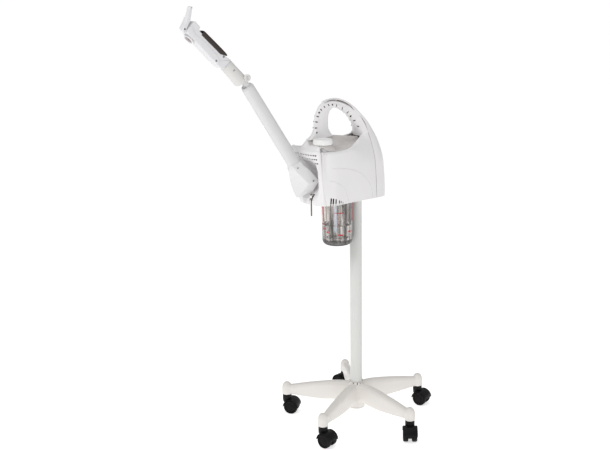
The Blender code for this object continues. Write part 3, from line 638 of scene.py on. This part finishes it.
def resampled(points, levels):
    """Column with the given heights, then an even roll to its last point."""
    dense = curve_points(points, 10)
    out = []
    for z in levels:
        k = 0
        while k < len(dense) - 2 and dense[k + 1][2] < z:
            k += 1
        a = dense[k]
        b = dense[k + 1]
        u = max(0, (z - a[2]) / (b[2] - a[2]))
        out.append(between(a, b, u))
    rest = [out[-1]] + [p for p in dense if p[2] > levels[-1] + 0.2]
    spans = [dist(p, q) for p, q in zip(rest, rest[1:])]
    total = sum(spans)
    for j in range(1, RIM_LEVELS + 1):
        want = total * j / RIM_LEVELS
        k = 0
        while k < len(spans) - 1 and want > spans[k]:
            want -= spans[k]
            k += 1
        u = min(1, want / spans[k])
        out.append(between(rest[k], rest[k + 1], u))
    return out


def wall_rows():
    """Columns of the whole near half, rear seam to nose, with seam distances."""
    side = smooth_grid(SIDE_STATIONS, 14, WALL_STEPS)
    edge = side[0]
    levels = [p[2] for p in edge[:WALL_LEVELS + 1]]
    end = resampled(front_wall(pi / 2), levels)
    rows = side[::-1]
    for k in range(1, FRONT_ROWS + 1):
        t = pi / 2 * (1 - k / FRONT_ROWS)
        hold = exp(-((pi / 2 - t) / 0.22) ** 2)
        row = resampled(front_wall(t), levels)
        rows.append([tuple(a + hold * (e - b) for a, e, b in zip(*trio)) for trio in zip(row, edge, end)])
    waist = WALL_LEVELS - 8
    reach = [0]
    for a, b in zip(rows, rows[1:]):
        reach.append(reach[-1] + dist(a[waist], b[waist]))
    zero = reach[len(side) - 1]
    fine = []
    for k in range(len(rows) - 1):
        parts = 4 if abs(reach[k] - zero) < 14 else 1
        for m in range(parts):
            u = m / parts
            row = [between(a, b, u) for a, b in zip(rows[k], rows[k + 1])]
            fine.append((reach[k] + (reach[k + 1] - reach[k]) * u - zero, row))
    fine.append((reach[-1] - zero, rows[-1]))
    return fine


def wall_relief(d, z):
    """Outward offset at distance d in front of the parting line."""
    upper = clamp((z - 880) / 60)
    rim = clamp((986 - z) / 9)
    fade = upper * upper * (3 - 2 * upper) * rim
    lip = 3.4 * exp(-((d - 5.5) / 3) ** 2)
    groove = 4 * exp(-(d / 2) ** 2)
    hollow = 3.4 * exp(-((d + 14) / 9) ** 2)
    return (lip - groove - hollow) * fade


def relief_rows():
    rows = wall_rows()
    out = []
    last = len(rows) - 1
    for i, (d, row) in enumerate(rows):
        before = rows[max(i - 1, 0)][1]
        after = rows[min(i + 1, last)][1]
        line = []
        for j, p in enumerate(row):
            du = Vector(after[j]) - Vector(before[j])
            dv = Vector(row[min(j + 1, len(row) - 1)]) - Vector(row[max(j - 1, 0)])
            normal = dv.cross(du).normalized()
            if i == last:
                normal = Vector((1, 0, 0))
            line.append(tuple(Vector(p) + normal * wall_relief(d, p[2])))
        out.append((d, line))
    return out


# Arcs drawn on the side walls: centre, half axes, power, first and last angle.
SIDE_ARCS = (((178, 806), 189, 119, 2.25, 94, 179), ((176, 800), 85, 87, 1.8, 96, 172))


def arc_groove(tree, sign, centre, half_f, half_z, power, start, end):
    """Thin cutter following an arc on the side wall."""
    path = []
    for k in range(61):
        t = radians(start + (end - start) * k / 60)
        c = copysign(abs(cos(t)) ** (2 / power), cos(t))
        n = abs(sin(t)) ** (2 / power)
        f = centre[0] + half_f * c
        z = centre[1] + half_z * n
        hit = side_hit(tree, f, sign, z)
        if hit is not None:
            path.append(hit)
    return sweep("arc", path, 1.2, SHADE_DARK, 8)


LOUVRES = ((160.5, 828.5, 5), (153.5, 827.4, 5), (145, 824.7, 4.6),
           (132, 819.2, 4.2), (124.7, 815.6, 3.6), (116.5, 811.2, 3.2))


def build_sides(rows):
    grid = [row for d, row in rows if d < -0.2][::-1]
    lining = [[(f, s - 1.3, z) for f, s, z in row[2:13]] for row in grid if 108 < row[0][0] < 171]
    seam = min(rows, key=lambda item: abs(item[0]))[1]
    for tag, sign in SIDES:
        shell = grid_shell("side_panel_" + tag, one_side(grid, sign), 2.6, CASING)
        tree = surface_of(shell)
        tools = [arc_groove(tree, sign, *arc) for arc in SIDE_ARCS]
        for f, top, wide in LOUVRES:
            centre = at(f, sign * 82, (797 + top) / 2)
            tools.append(slot_tool(centre, SIDE, UP, top - 797, wide, 14))
        cut(shell, tools, angle=38)
        cover(shell, "head", "side_shell_" + tag)
        # Near-black sheet behind the louvres: painted shade inside the casing.
        back = grid_shell("louvre_painted_shade_" + tag, one_side(lining, sign), 0.6, SHADOW_SHEET)
        attach(back, "head")
        # Grey strip along the parting line: painted shade of the groove.
        path = [at(f - 1, sign * (s - 2.4), z) for f, s, z in seam[24:52:2]]
        strip = sweep("parting_painted_shade_" + tag, path, 1.6, DECK_SHADE, 10)
        attach(strip, "head")


def build_front(rows):
    near = []
    far = []
    for d, row in rows:
        if d < 0.2:
            continue
        f, s, z = row[-1]
        c = sqrt(max(0, 1 - min(1, s / 76) ** 2))
        for side, half in ((1, near), (-1, far)):
            top = deck_height(196.2, side * s * 0.95, 984.2) + 0.3
            roll = []
            for k in range(1, 9):
                u = k / 8
                lift = sin(pi * u) * (0.6 + 1.4 * c)
                roll.append((f + (197 - f) * u, s * (1 - 0.05 * u), z + (top - z) * u + lift))
            half.append(row + roll)
    grid = near + mirror_s(far)[1:]
    front = grid_shell("front_shell", grid[::-1], 2.6, CASING)
    tree = surface_of(front)
    tools = [prism("notch", [(12.5, 795), (33.5, 795), (28.5, 836), (16.5, 836)], 160, 216, SHADE_DARK)]
    for z in VENT_ROWS:
        for k in range(7):
            s = 79 * sin(radians(6 + 9 * k))
            for sign in (1, -1):
                hit, normal, _, _ = tree.ray_cast(at(300, sign * s, z), Vector((0, 1, 0)))
                if hit is not None:
                    tools.append(slot_tool(hit, normal, UP.cross(normal), 6.4, 5, 3.6))
    cut(front, tools, angle=38)
    cover(front, "head", "front_body")
    # Near-black sheet behind the front vents: painted shade inside the casing.
    inside = [[(f - 1.3, s * 0.985, z) for f, s, z in row[24:40]] for d, row in rows if d > 3]
    shade_veil = grid_shell("vent_painted_shade", (inside + mirror_s(inside)[1:])[::-1], 0.6, SHADOW_SHEET)
    attach(shade_veil, "head")
    # Dark plate behind the notch: painted shade in the recess.
    slope = [(11.5, 802.4), (34.5, 802.4), (30, 838), (15, 838)]
    lining = prism("notch_painted_shade", slope, 166, 169, SHADE_DARK)
    attach(lining, "head")


FILLER = (168, 47)


def deck_height(f, s, edge):
    """Deck falling from a central ridge to shallow dishes inside the rim."""
    w = min(abs(s) / 76, 1)
    dish = 984 + 0.05 * max(0, 60 - f)
    base = dish + (edge - dish) * w ** 3
    crest = min(1003 + (f - 5) * 0.15, 1016.6 - (f - 100) * 0.065)
    reach = (35 + 0.431 * (f - 91) - abs(s)) / 1.5
    if s > 0:
        base += 9 * clamp((f - 60) / 30) / (1 + exp(-reach))
    seat = exp(-(dist((f, s), FILLER) / 36) ** 8) * clamp((77.6 - s) / 6)
    base += max(0, 998.8 - base) * seat
    return base + (crest - base) * exp(-(abs(s) / 11.5) ** 2.6)


def build_deck():
    edge = [(-6, 20, 1009), (5, 27, 1006.8), (27.5, 42.3, 998.5), (52.5, 55, 989), (76, 69, 983),
            (108, 75.5, 978), (143, 77.5, 977), (172, 76.5, 979), (196.2, 71.8, 984.2)]
    rows = curve_points(edge, 8)
    half = [k / 30 for k in range(1, 31)]
    spread = [-k for k in half[::-1]] + [0] + half
    grid = [[(f, w * k, deck_height(f, w * k, z)) for k in spread] for f, w, z in rows]
    deck = grid_shell("deck", grid, 2.6, DECK_SHADE)
    cut(deck, [lathe("neck", corners(0, 22, 960, 1005), at(*FILLER, 0), UP, SHADE_DARK, 64)])
    cover(deck, "head", "top_deck")


HANDLE_STATIONS = [
    (97, 1015, 196, 1009.5, 14, 13), (106, 1026, 179, 1021, 11.4, 11), (114, 1042, 169, 1038, 10, 10),
    (115, 1060, 165, 1059, 9.5, 9.8), (114, 1078, 161, 1082, 9.3, 9.6), (109, 1093, 151, 1105, 9.2, 9.6),
    (101, 1101, 136, 1120, 9.2, 9.4), (90, 1104, 107, 1128, 9.2, 9.6), (68, 1097, 70, 1122, 9.2, 10.6),
    (38, 1077, 34, 1104.5, 9.5, 14), (15, 1050, 1, 1071.5, 11.5, 23.5), (1, 1027, -13.5, 1046, 18, 32.2),
    (-5, 1012, -17, 1029, 26, 40), (-8, 1003, -20, 1018, 29, 44)]
HANDLE_HEART = (70, 1045)
HANDLE_DOTS = ((163, 1031), (152, 1094), (100, 1115), (27, 1071.5))
HANDLE_SLOTS = ((164.5, 1046), (162, 1065), (157.5, 1082), (144.5, 1102.5), (131, 1110.5), (115, 1115),
                (83, 1111), (60.5, 1100), (39, 1085), (13.5, 1056), (1.5, 1036))


def build_handle():
    rings = []
    for fi, zi, fo, zo, wi, wo in curve_points(HANDLE_STATIONS, 8):
        df = fo - fi
        dz = zo - zi
        rear = clamp((75 - fo) / 60)
        crown = clamp((zo - 1060) / 40) * clamp((152 - fo) / 20)
        reach = 1 + (0.6 * rear + 1.9 * crown) / hypot(df, dz)
        near_edge = 0.92 + 0.07 * rear
        shape = [(0, 0.3), (0.01, 0.55), (0.05, 0.8), (0.12, 0.93), (0.22, 1), (0.45, 1.02),
                 (0.6, 1), (0.65, near_edge), (0.82, near_edge), (0.9, 0.9 + 0.09 * rear),
                 (0.96, 0.8 + 0.18 * rear), (0.99, 0.62 + 0.35 * rear), (reach, 0.35 + 0.6 * rear)]
        near = [(fi + df * t, (wi + (wo - wi) * t) * w, zi + dz * t) for t, w in shape]
        far = [(f, -s, z) for f, s, z in near[::-1]]
        rings.append([at(*p) for p in near + far])
    handle = loft("handle_bow", rings, CASING, angle=45)
    tree = surface_of(handle)
    tools = []
    marks = []
    for group, length, width in ((HANDLE_DOTS, 6.4, 6.4), (HANDLE_SLOTS, 9, 3.4)):
        for k, (f, z) in enumerate(group):
            along = Vector((0, -(f - HANDLE_HEART[0]), z - HANDLE_HEART[1]))
            for tag, sign in (("n", 1), ("f", -1)):
                hit = side_hit(tree, f, sign, z)
                if hit is not None:
                    tools.append(slot_tool(hit, SIDE, along, length, width, 2.2))
                    marks.append((group, f"{k}_{tag}", hit, SIDE * sign, along))
    cut(handle, tools, angle=45)
    cover(handle, "head", "handle")
    for group, label, hit, out, along in marks:
        if group is HANDLE_DOTS:
            screw("handle_screw_" + label, hit - out * 0.0012, out, 3, "head")
        else:
            # Near-black floor in each slot: painted shade.
            floor = slot_tool(hit - out * 0.002, SIDE, along, 8.8, 3.2, 0.35)
            floor.data.materials[0] = SHADOW_SHEET
            floor.name = "slot_painted_shade_" + label
            attach(floor, "head")


REAR_STATIONS = [
    (-30.6, 74, 802, -92, 802), (-30.2, 72, 860, -91.5, 865), (-28.2, 66.5, 935, -87, 930),
    (-23.6, 52, 990, -73, 985), (-19, 40, 1024, -56, 1020), (-16, 32, 1046, -38, 1048),
    (-4, 25.5, 1066.5, -18, 1072), (14, 19, 1085, 8, 1099), (33, 15, 1107.5, 35, 1118),
    (69, 11.2, 1126, 63, 1130.5), (106, 10, 1131.3, 90, 1134.5), (134, 9.8, 1124, 128, 1128)]


def build_rear():
    rings = []
    seam = []
    for sf, ss, sz, cf, cz in curve_points(REAR_STATIONS, 7):
        outer = []
        inner = []
        depth = hypot(cf - sf, cz - sz)
        lead = min(0.9, 0.2 * depth)
        sf += (cf - sf) / depth * lead
        sz += (cz - sz) / depth * lead
        depth -= lead
        thick = min(2.6, 0.55 * depth)
        k_s = (ss - min(2.6, 0.4 * ss)) / ss
        k_d = (depth - thick) / depth
        for c, sn in half_round(37, 0.62, 0.8):
            outer.append(at(sf + (cf - sf) * c, ss * sn, sz + (cz - sz) * c))
            inner.append(at(sf + (cf - sf) * c * k_d, ss * sn * k_s, sz + (cz - sz) * c * k_d))
        rings.append(outer + inner[::-1])
        seam.append((sf, ss, sz))
    back = loft("rear_shell", rings, CASING, angle=38)
    windows = ((-26, -2, 848, 876), (6, 18, 850, 874), (22, 34, 850, 874))
    tools = [prism("window", rounded(corners(*box), 1.5, 3), -110, -70, SHADE_DARK) for box in windows]
    cut(back, tools, angle=38)
    cover(back, "head", "rear_cover")
    for tag, sign in SIDES:
        # Grey strip along the seam of the rear cover: painted shade of the groove.
        path = [at(f + 0.6, sign * (s - 2.2), z - (0.8 if z > 1040 else 0)) for f, s, z in seam[2:-4]]
        strip = sweep("seam_painted_shade_" + tag, path, 1.2, SEAM_SHADE, 10)
        attach(strip, "head")


# --- jar and inside
JAR_F = 78
JAR_R = 52.5
JAR_BOTTOM = 648
JAR_H = 220
WATER_H = 68


def build_jar():
    foot = at(JAR_F, 0, JAR_BOTTOM)
    outer = [(0, 1.2), (20, 0.8), (34, 0), (40, 0.6), (45.5, 3.4), (49.2, 8.5), (50.6, 16), (51.2, 60),
             (JAR_R, 152), (JAR_R, JAR_H - 12), (JAR_R + 2, JAR_H - 10), (JAR_R + 2, JAR_H)]
    inner = [(JAR_R - 2.8, JAR_H), (JAR_R - 3, 152), (48.2, 60), (47.2, 22), (45.2, 14), (41, 9.6),
             (34, 7.6), (0, 6.6)]
    jar = lathe("jar_wall", outer + inner, foot, UP, JAR_GLASS_SHADE, 96, angle=60)
    cover(jar, "jar", "glass_jar")
    wet = [(0, 6.5), (34, 7.5), (41.1, 9.5), (45.3, 13.9), (47.3, 22), (48.1, WATER_H + 1.8),
           (46.8, WATER_H + 0.6), (44.5, WATER_H), (0, WATER_H)]
    water = lathe("jar_fill", wet, foot, UP, WATER, 96, angle=60)
    attach(water, "jar")
    band("mark_max", -29, -13, 762.2, 765.4)
    band("mark_max_line", -47, -29, 763, 765)
    band("mark_min", -34, -16, 687.8, 691.4)
    for k in range(7):
        band(f"mark_tick_{k}", -38, -31 if k % 2 else -33, 718 + k * 6.6, 718.8 + k * 6.6)
    rules = ((-106, -83, 708), (-104, -88, 704.6), (-140, -104, 699), (24, 37, 733), (-112, -92, 719))
    for k, (a0, a1, z) in enumerate(rules):
        band(f"mark_rule_{k}", a0, a1, z, z + (3.4 if k == 4 else 1.8))
    for name, a0, a1, z in (("mark_arrow_left", -88, -66, 697), ("mark_arrow_right", 31, 3, 697)):
        neck = a0 + (a1 - a0) * 0.45
        pts = ((a0, -0.8), (neck, -0.8), (neck, -3.6), (a1, 0.4), (neck, 4), (neck, 0.9), (a0, 0.9))
        wrap(name, [(a, z + h) for a, h in pts])
    wrap("mark_wedge_left", [(-107, 792), (-102, 792), (-94, 729), (-101, 729)])
    wrap("mark_wedge_right", [(39, 792), (44, 792), (40, 733), (33, 733)])


def jar_point(angle, z, lift):
    a = radians(angle)
    r = 51.2 + (JAR_R - 51.2) * clamp((z - 708) / 92) + lift
    return at(JAR_F, 0, z) + Vector((cos(a) * r, sin(a) * r, 0)) * MM


def wrap(name, outline):
    """Thin ink mark on the outside of the jar."""
    dense = []
    for i, (a, z) in enumerate(outline):
        a2, z2 = outline[(i + 1) % len(outline)]
        steps = max(1, int(abs(a2 - a) / 4))
        for k in range(steps):
            dense.append((a + (a2 - a) * k / steps, z + (z2 - z) * k / steps))
    rings = [[jar_point(a, z, lift) for a, z in dense] for lift in (0.02, 0.22)]
    ink = loft(name, rings, RED)
    attach(ink, "jar")


def band(name, a0, a1, z0, z1):
    wrap(name, corners(a0, a1, z0, z1))


def build_inside():
    turns = [radians(60 + 300 * i / 60) for i in range(61)]
    coil = [at(JAR_F + 24 * cos(t), 24 * sin(t), 672) for t in turns]
    down = [(12, 20.78, 868.5), (12, 20.78, 760), (12, 20.78, 690), (12.1, 20.78, 677)]
    up = [(30, 2, 678), (33, 4, 700), (33, 4, 780), (33, 4, 868.5)]
    first, last = ([at(JAR_F + f, s, z) for f, s, z in curve_points(rod, 6)] for rod in (down, up))
    heater = sweep("heater_loop", first + coil[1:-1] + last, 3.6, STEEL, 20)
    cover(heater, "head", "heater_coil")
    drop = [at(JAR_F, -6, z) for z in (868, 840, 800, 760, 720, 690)]
    tube = sweep("steam_pipe", drop, 6.5, FROST_GLOW, 32, 4.6)
    cover(tube, "head", "steam_tube")
    drip = sweep("drip_pipe", [at(198, 22, z) for z in (838, 820, 800, 780, 765)], 2.5, TUBE, 24, 1.5)
    cover(drip, "head", "drip_tube")
    prof = [(2.2, 825.5), (4.6, 825.5), (5.4, 827), (5.4, 833), (4.6, 834.8), (2.2, 834.8)]
    nut = lathe("drip_collar", prof, at(198, 22, 0), UP, CHROME, 6, angle=20)
    cover(nut, "head", "drip_nut")


def build_cap():
    foot = at(*FILLER, 999.2)
    prof = [(0, 16.4), (9, 16.4), (10.5, 17), (22, 17.5), (27.2, 17.2), (29.2, 16.2), (30.4, 14.2),
            (31, 11.5), (31.4, 2.6), (30.8, 0.6), (30, 0), (27, 0), (27, 9), (0, 9)]

    def knurl(t, r, h):
        return 0.35 * cos(t * 24) if 2 < h < 13 and r > 30.8 else 0

    cap = lathe("filler_lid", prof, foot, UP, CAP, 192, wave=knurl, angle=50)
    cover(cap, "cap", "fill_cap")


# --- arm
def arm_axes(angle):
    a = radians(angle)
    return Vector((0, -cos(a), sin(a))), Vector((0, sin(a), cos(a)))


ARM_TILT = 57
NOZZLE_TILT = 47
NOZZLE_SEAM = at(488, 0, 1269)
ELBOW_LENGTH = 78
OUTLET_D = 137
SPLIT = 0.35
PIPE_WALL = 2.4


def half_pipe(name, start, along, lift, stations, side, mat):
    """Half of a split pipe; stations are (distance, height radius, side radius)."""
    across = SIDE * side
    rings = []
    for d, rl, rs in curve_points(stations, 6):
        c = start + along * d * MM
        outer = []
        inner = []
        for cs, sn in half_round(33, 0.85, 0.85):
            for ring, cut_in, wall in ((outer, SPLIT, 0), (inner, PIPE_WALL, PIPE_WALL)):
                ring.append(c + (across * (SPLIT + (rs - cut_in) * cs) + lift * (rl - wall) * sn) * MM)
        rings.append(outer + inner[::-1])
    return loft(name, rings, mat, angle=40)


# Corners of the near half of the arm's base block, bottom to top: back and
# front corner of the side face and the nose on the centre line.
BLOCK = (((186, 16, 845), (237, 2.5, 828), (239.5, 0.3, 827.5)),
         ((181, 26, 862), (227, 18, 852), (251, 0.3, 847)),
         ((174.5, 35.6, 880.5), (217, 35.6, 876), (259, 0.3, 868)),
         ((194, 35.6, 901), (239.5, 35.6, 897), (265, 0.3, 893)),
         ((212, 35.6, 920), (261, 34.5, 918), (268, 0.3, 914)),
         ((230, 31, 936), (267, 27, 932), (268, 0.3, 929)),
         ((237, 20.5, 949), (266, 20.5, 937), (266.5, 0.3, 936)))


def build_block(name, side):
    rings = []
    for k, (back, front, nose) in enumerate(BLOCK):
        if side < 0 and k > 2:
            front = (front[0] - 11, front[1], front[2])
        inner = (back[0], 0.3, back[2])
        ring = [inner]
        for a, p, b in ((inner, back, front), (back, front, nose)):
            p = Vector(p)
            start, end = (p + (q - p).normalized() * min(2.5, (q - p).length * 0.4)
                          for q in (Vector(a), Vector(b)))
            for u in (0, 0.25, 0.5, 0.75, 1):
                ring.append(start * (1 - u) ** 2 + p * 2 * u * (1 - u) + end * u * u)
        ring.append(nose)
        rings.append([at(f, side * s, z) for f, s, z in ring])
    return loft(name, rings, BLOCK_WHITE, angle=28)


def build_arm():
    along, lift = arm_axes(ARM_TILT)
    start = at(250, 0, 944)
    stations = [(-2, 21.5, 21), (40, 21, 20.5), (250, 19.5, 19.5), (292, 19, 19), (300, 18, 18.4),
                (305, 15, 17), (309, 8.5, 15), (335, 6.5, 14)]
    for tag, side in SIDES:
        block = build_block("block_" + tag, side)
        cut(block, [prism("port", corners(-12, 12, 893, 915), 150, 213, SHADE_DARK)], angle=28)
        cover(block, "arm", "arm_base_" + tag)
        pipe = half_pipe("arm_half_" + tag, start, along, lift, stations, side, PIPE)
        cover(pipe, "arm", "arm_shell_" + tag)
        if side > 0:
            tree = surface_of(block)
            for k, (f, z) in enumerate(((252.5, 929), (197.8, 883.2))):
                screw(f"block_screw_{k}", side_hit(tree, f, 1, z), SIDE, 3.2, "arm")
    for k, d in enumerate((148, 283)):
        place = start + along * d * MM + lift * 8.6 * MM + SIDE * 17 * MM
        screw(f"arm_screw_{k}", place, SIDE * 0.9 + lift * 0.44, 3, "arm")


def build_elbow():
    along, lift = arm_axes(NOZZLE_TILT)
    low = NOZZLE_SEAM - along * ELBOW_LENGTH * MM
    stations = [(2, 19.6, 22.2), (5, 20.3, 22.9), (10, 20.5, 23), (40, 19.5, 21), (70, 19, 19.6),
                (77.6, 18.6, 19.2)]
    for tag, side in SIDES:
        pipe = half_pipe("elbow_half_" + tag, low, along, lift, stations, side, ELBOW)
        cover(pipe, "elbow", "elbow_" + tag)
    pivot = low + (along * 6 + lift * 14) * MM
    knob = [(0, 23.4), (9.6, 23.4), (10.5, 24.6), (10.6, 29.2), (9.6, 30.4), (8.2, 30.6), (7.6, 29.6),
            (6.8, 29.4), (0, 29.4)]
    boss = lathe("elbow_boss", knob, pivot, SIDE, ELBOW, 48)
    cut(boss, [slot_tool(pivot + SIDE * 30 * MM, SIDE, lift + along, 11, 1.8, 1.6)])
    cover(boss, "elbow", "elbow_knob")
    place = low + (along * 51 + lift * 0.5) * MM + SIDE * 20.3 * MM
    screw("elbow_screw", place, SIDE, 3.2, "elbow")


def build_nozzle():
    along, lift = arm_axes(NOZZLE_TILT)

    def point(d, h, s):
        return NOZZLE_SEAM + (along * d + lift * h) * MM + Vector((s * MM, 0, 0))

    def drum(name, profile, mat=ARM, seg=56):
        return lathe(name, profile, point(OUTLET_D, 0, 0), -lift, mat, seg)

    body = rounded([(0.2, -19), (12, -25), (40, -27), (150, -30), (163, -29), (169, -22), (168, -8),
                    (168, 8), (164.5, 13), (140, 12.5), (138.5, 3.5), (114, 3), (110, 7.5), (40, 8),
                    (20, 12), (0.2, 17)], 3.2, 4)
    skirt = rounded([(27, -23.6), (27, -14), (33, -8.5), (46, -6), (100, -6.5), (132, -12.5), (150, -12),
                     (162, -4), (167, -9), (168.4, -21.5), (162.6, -28.4), (150, -29.4), (40, -26.4)],
                    3, 4)
    bore = corners(0, 15.5, 10, 40)
    for tag, side in SIDES:
        shell = pillow("nozzle_half_" + tag, body, point, 0.3 * side, 17.6 * side, 2.6, ARM, both=False,
                       angle=40)
        plate = pillow("skirt", skirt, point, 12 * side, 19.5 * side, 2.2, ARM, both=False, angle=40)
        inlet = lathe("inlet", corners(0, 11, -4, 12), NOZZLE_SEAM - lift * 2 * MM, along, ARM, 40)
        cut(shell, [drum("mouth", bore), inlet], angle=40)
        cut(plate, [drum("mouth", bore)], angle=40)
        shell = joined("nozzle_case_" + tag, [shell, plate], ARM, angle=40)
        if side > 0:
            near_tree = surface_of(shell)
        cover(shell, "nozzle", "nozzle_" + tag)
    sleeve = lathe("nozzle_sleeve", corners(11.5, 17.6, 0.1, 8), NOZZLE_SEAM, along, ARM, 64)
    attach(sleeve, "nozzle")
    ring = [(12.2, 24), (15.2, 24), (15.2, 31.5), (17, 31.5), (17.4, 32.2), (17.4, 34.6), (16.4, 36),
            (14, 36.2), (12.4, 35.4)]
    cover(drum("outlet_rim", ring, seg=64), "nozzle", "outlet_ring")
    net = drum("outlet_net", corners(0, 11.9, 27, 28.4), COPPER, 48)
    spots = [((i + j % 2 / 2) * 3, j * 2.6) for i in range(-3, 4) for j in range(-3, 4)]
    holes = [slot_tool(point(OUTLET_D + a, -27.7, b), lift, along, 1.6, 1.6, 2)
             for a, b in spots if hypot(a, b) < 10]
    cut(net, [joined("pins", holes, SHADE_DARK)])
    cover(net, "nozzle", "outlet_mesh")
    inner = curve_points([(170.2, -33), (170.4, -24), (174.5, -11), (178.5, 2.5), (186, 14),
                          (195, 27)], 4)
    outer = curve_points([(206, 29), (198.5, 14), (190.5, 0), (184, -13), (180, -26), (178, -34)], 4)
    side_line = rounded(inner + [(199.5, 33.5), (204.5, 33)] + outer + [(174, -36.5)], 1.2, 3)
    lever = pillow("finger_lever", side_line, point, 2.5, 19.5, 1.2, ARM, angle=35)
    cover(lever, "lever", "end_lever")
    mid = curve_points([(170, -26), (174, -12), (178, 2), (182, 9.5)], 5)
    line = rounded([(d + 0.6, h) for d, h in mid] + [(d + 3.6, h - 1) for d, h in mid[::-1]], 1.2, 3)
    plate = pillow("end_plate", line, point, -19.5, 1.5, 0.9, ARM, angle=35)
    cover(plate, "nozzle", "back_plate")
    rings = []
    stations = [(20, 15.5, 20.5), (25, 12.5, 21.2), (34, 6.5, 21.2), (42, 3, 21), (60, 2, 20.2),
                (100, -0.2, 17.8), (120, -1.2, 16.4), (123.5, -0.8, 15.6)]
    for d, low, high in curve_points(stations, 3):
        near = [(18.4, low), (18.4, max(low + 0.5, high - 8)), (17.4, high - 3.6), (13, high - 1),
                (6, high - 0.2)]
        roof = near + [(0, high)] + [(-s, h) for s, h in near[::-1]]
        floor = [(s * 0.89, h if i in (0, len(roof) - 1) else h - 1.9) for i, (s, h) in enumerate(roof)]
        rings.append([point(d, h, s) for s, h in roof + floor[::-1]])
    panel = loft("smoked_cover", rings, SMOKE, angle=35)
    cover(panel, "panel", "smoked_panel")
    for k, (d, h) in enumerate(((26.6, 5.6), (37.1, -20.4))):
        hit = near_tree.ray_cast(point(d, h, 60), -SIDE)[0]
        screw(f"nozzle_screw_{k}", hit, SIDE, 3.3, "nozzle")
    screw("pivot_screw", point(174.3, -28, 19.5), SIDE, 3, "lever")
    screw("lever_screw", point(200, 30.4, 19.4), SIDE, 1.8, "lever")


# --- switches on the rear
def build_rear_controls():
    ring = rounded(corners(-25.5, -2.5, 848.5, 875.5), 2, 4)
    hollow = rounded([(-22, 853), (-6, 853), (-6, 868), (-9, 872), (-19, 872), (-22, 868)], 1.2, 3)
    inlet = prism("inlet_socket", ring, -95, -82, BLACK)
    cut(inlet, [prism("hollow", hollow, -99, -84.5, SHADE_DARK)])
    cover(inlet, "head", "power_inlet")
    for k, (s, z) in enumerate(((-18.5, 858), (-9.5, 858), (-14, 865))):
        pin = rounded(corners(s - 1, s + 1, z - 2.2, z + 2.2), 0.6, 3)
        blade = prism(f"inlet_pin_{k}", pin, -93, -84, STEEL)
        attach(blade, "head")
    for node, body, s in (("switch_power", "power_rocker", 12), ("switch_ozone", "ozone_rocker", 28)):
        line = rounded([(-84.2, 851), (-93, 851), (-95.3, 852.5), (-93.2, 862), (-95.3, 871.5),
                        (-93, 873), (-84.2, 873)], 1, 3)
        rocker = pillow("rocker_" + body, line, lambda f, z, a: at(f, a, z), s - 5.4, s + 5.4, 0.6, BLACK)
        cover(rocker, body, node)


KEPT = {BASE: ("hub_plug",), CASING: ("bottom_plate", "chamber_lid", "jar_holder", "filler_neck"),
        STEEL: ("pole_socket", "level_probe", "arm_pivot"),
        RUBBER: ("jar_gasket", "steam_duct", "arm_hose"),
        COPPER: ("transformer",), BOARD: ("control_board",), FROST_GLOW: ("uv_lamp",)}


def dress_kept():
    """Materials for the CAD pieces that stay in view."""
    for mat, names in KEPT.items():
        for name in names:
            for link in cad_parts[name].material_slots:
                link.material = mat


# --- floor, light, camera
FLOOR_HALF = 400


def build_set():
    paper = finish("floor_paper", (0.93, 0.93, 0.93), 0.8, grain=90, bump=0.02, vary=0.01, shine=0.1)
    glow(paper, (1, 1, 1, 1), 0.62)
    edge = [(x, y, 0) for x, y in corners(-FLOOR_HALF, FLOOR_HALF, -FLOOR_HALF, FLOOR_HALF)]
    floor = make("floor", edge, [(0, 1, 2, 3)], paper)
    if floor.data.polygons[0].normal.z < 0:
        floor.data.flip_normals()
    world = bpy.data.worlds.new("studio")
    world.use_nodes = True
    fill(world.node_tree.nodes["Background"], {"Color": (1, 1, 1, 1), "Strength": 0.43})
    SCENE.world = world
    target = at(60, 0, 800)
    for name, place, size, power in (("key", (0.6, -2.4, 3), 1.4, 34), ("fill", (3, 1.2, 1.6), 2.2, 6),
                                     ("top", (0, 0.4, 3.4), 2.4, 12)):
        light = bpy.data.lights.new(name, "AREA")
        light.shape = "SQUARE"
        light.size = size
        light.energy = power
        ob = new_object(name, light)
        ob.location = place
        ob.rotation_euler = (target - Vector(place)).to_track_quat("-Z", "Y").to_euler()


def build_camera():
    yaw = radians(-3.02)
    pitch = radians(14.35)
    roll = radians(-0.954)
    ahead = Vector((sin(yaw) * cos(pitch), cos(yaw) * cos(pitch), -sin(pitch)))
    right = Vector((cos(yaw), -sin(yaw), 0))
    up = right.cross(ahead)
    right, up = (right * cos(roll) + up * sin(roll), up * cos(roll) - right * sin(roll))
    turn = Matrix.Rotation(radians(52), 3, "Z")
    data = bpy.data.cameras.new("camera")
    data.lens = 58.6
    data.sensor_width = 36
    camera = new_object("camera", data)
    axes = Matrix((turn @ right, turn @ up, turn @ -ahead)).transposed().to_4x4()
    place = AXIS + turn @ Vector((0, -3.25, 0)) + UP * 1.532
    camera.matrix_world = Matrix.Translation(place) @ axes
    SCENE.camera = camera


def build_all():
    build_star()
    build_pole()
    for i, (angle, swivel) in enumerate(zip(LEG_ANGLES, CASTER_SWIVELS), 1):
        build_caster(i, angle, swivel)
    rows = relief_rows()
    build_sides(rows)
    build_front(rows)
    for build in (build_deck, build_handle, build_rear, build_rear_controls, build_jar, build_inside,
                  build_cap,
                  build_arm, build_elbow, build_nozzle, dress_kept, build_set, build_camera):
        build()
    SCENE.view_settings.view_transform = "Standard"


build_all()
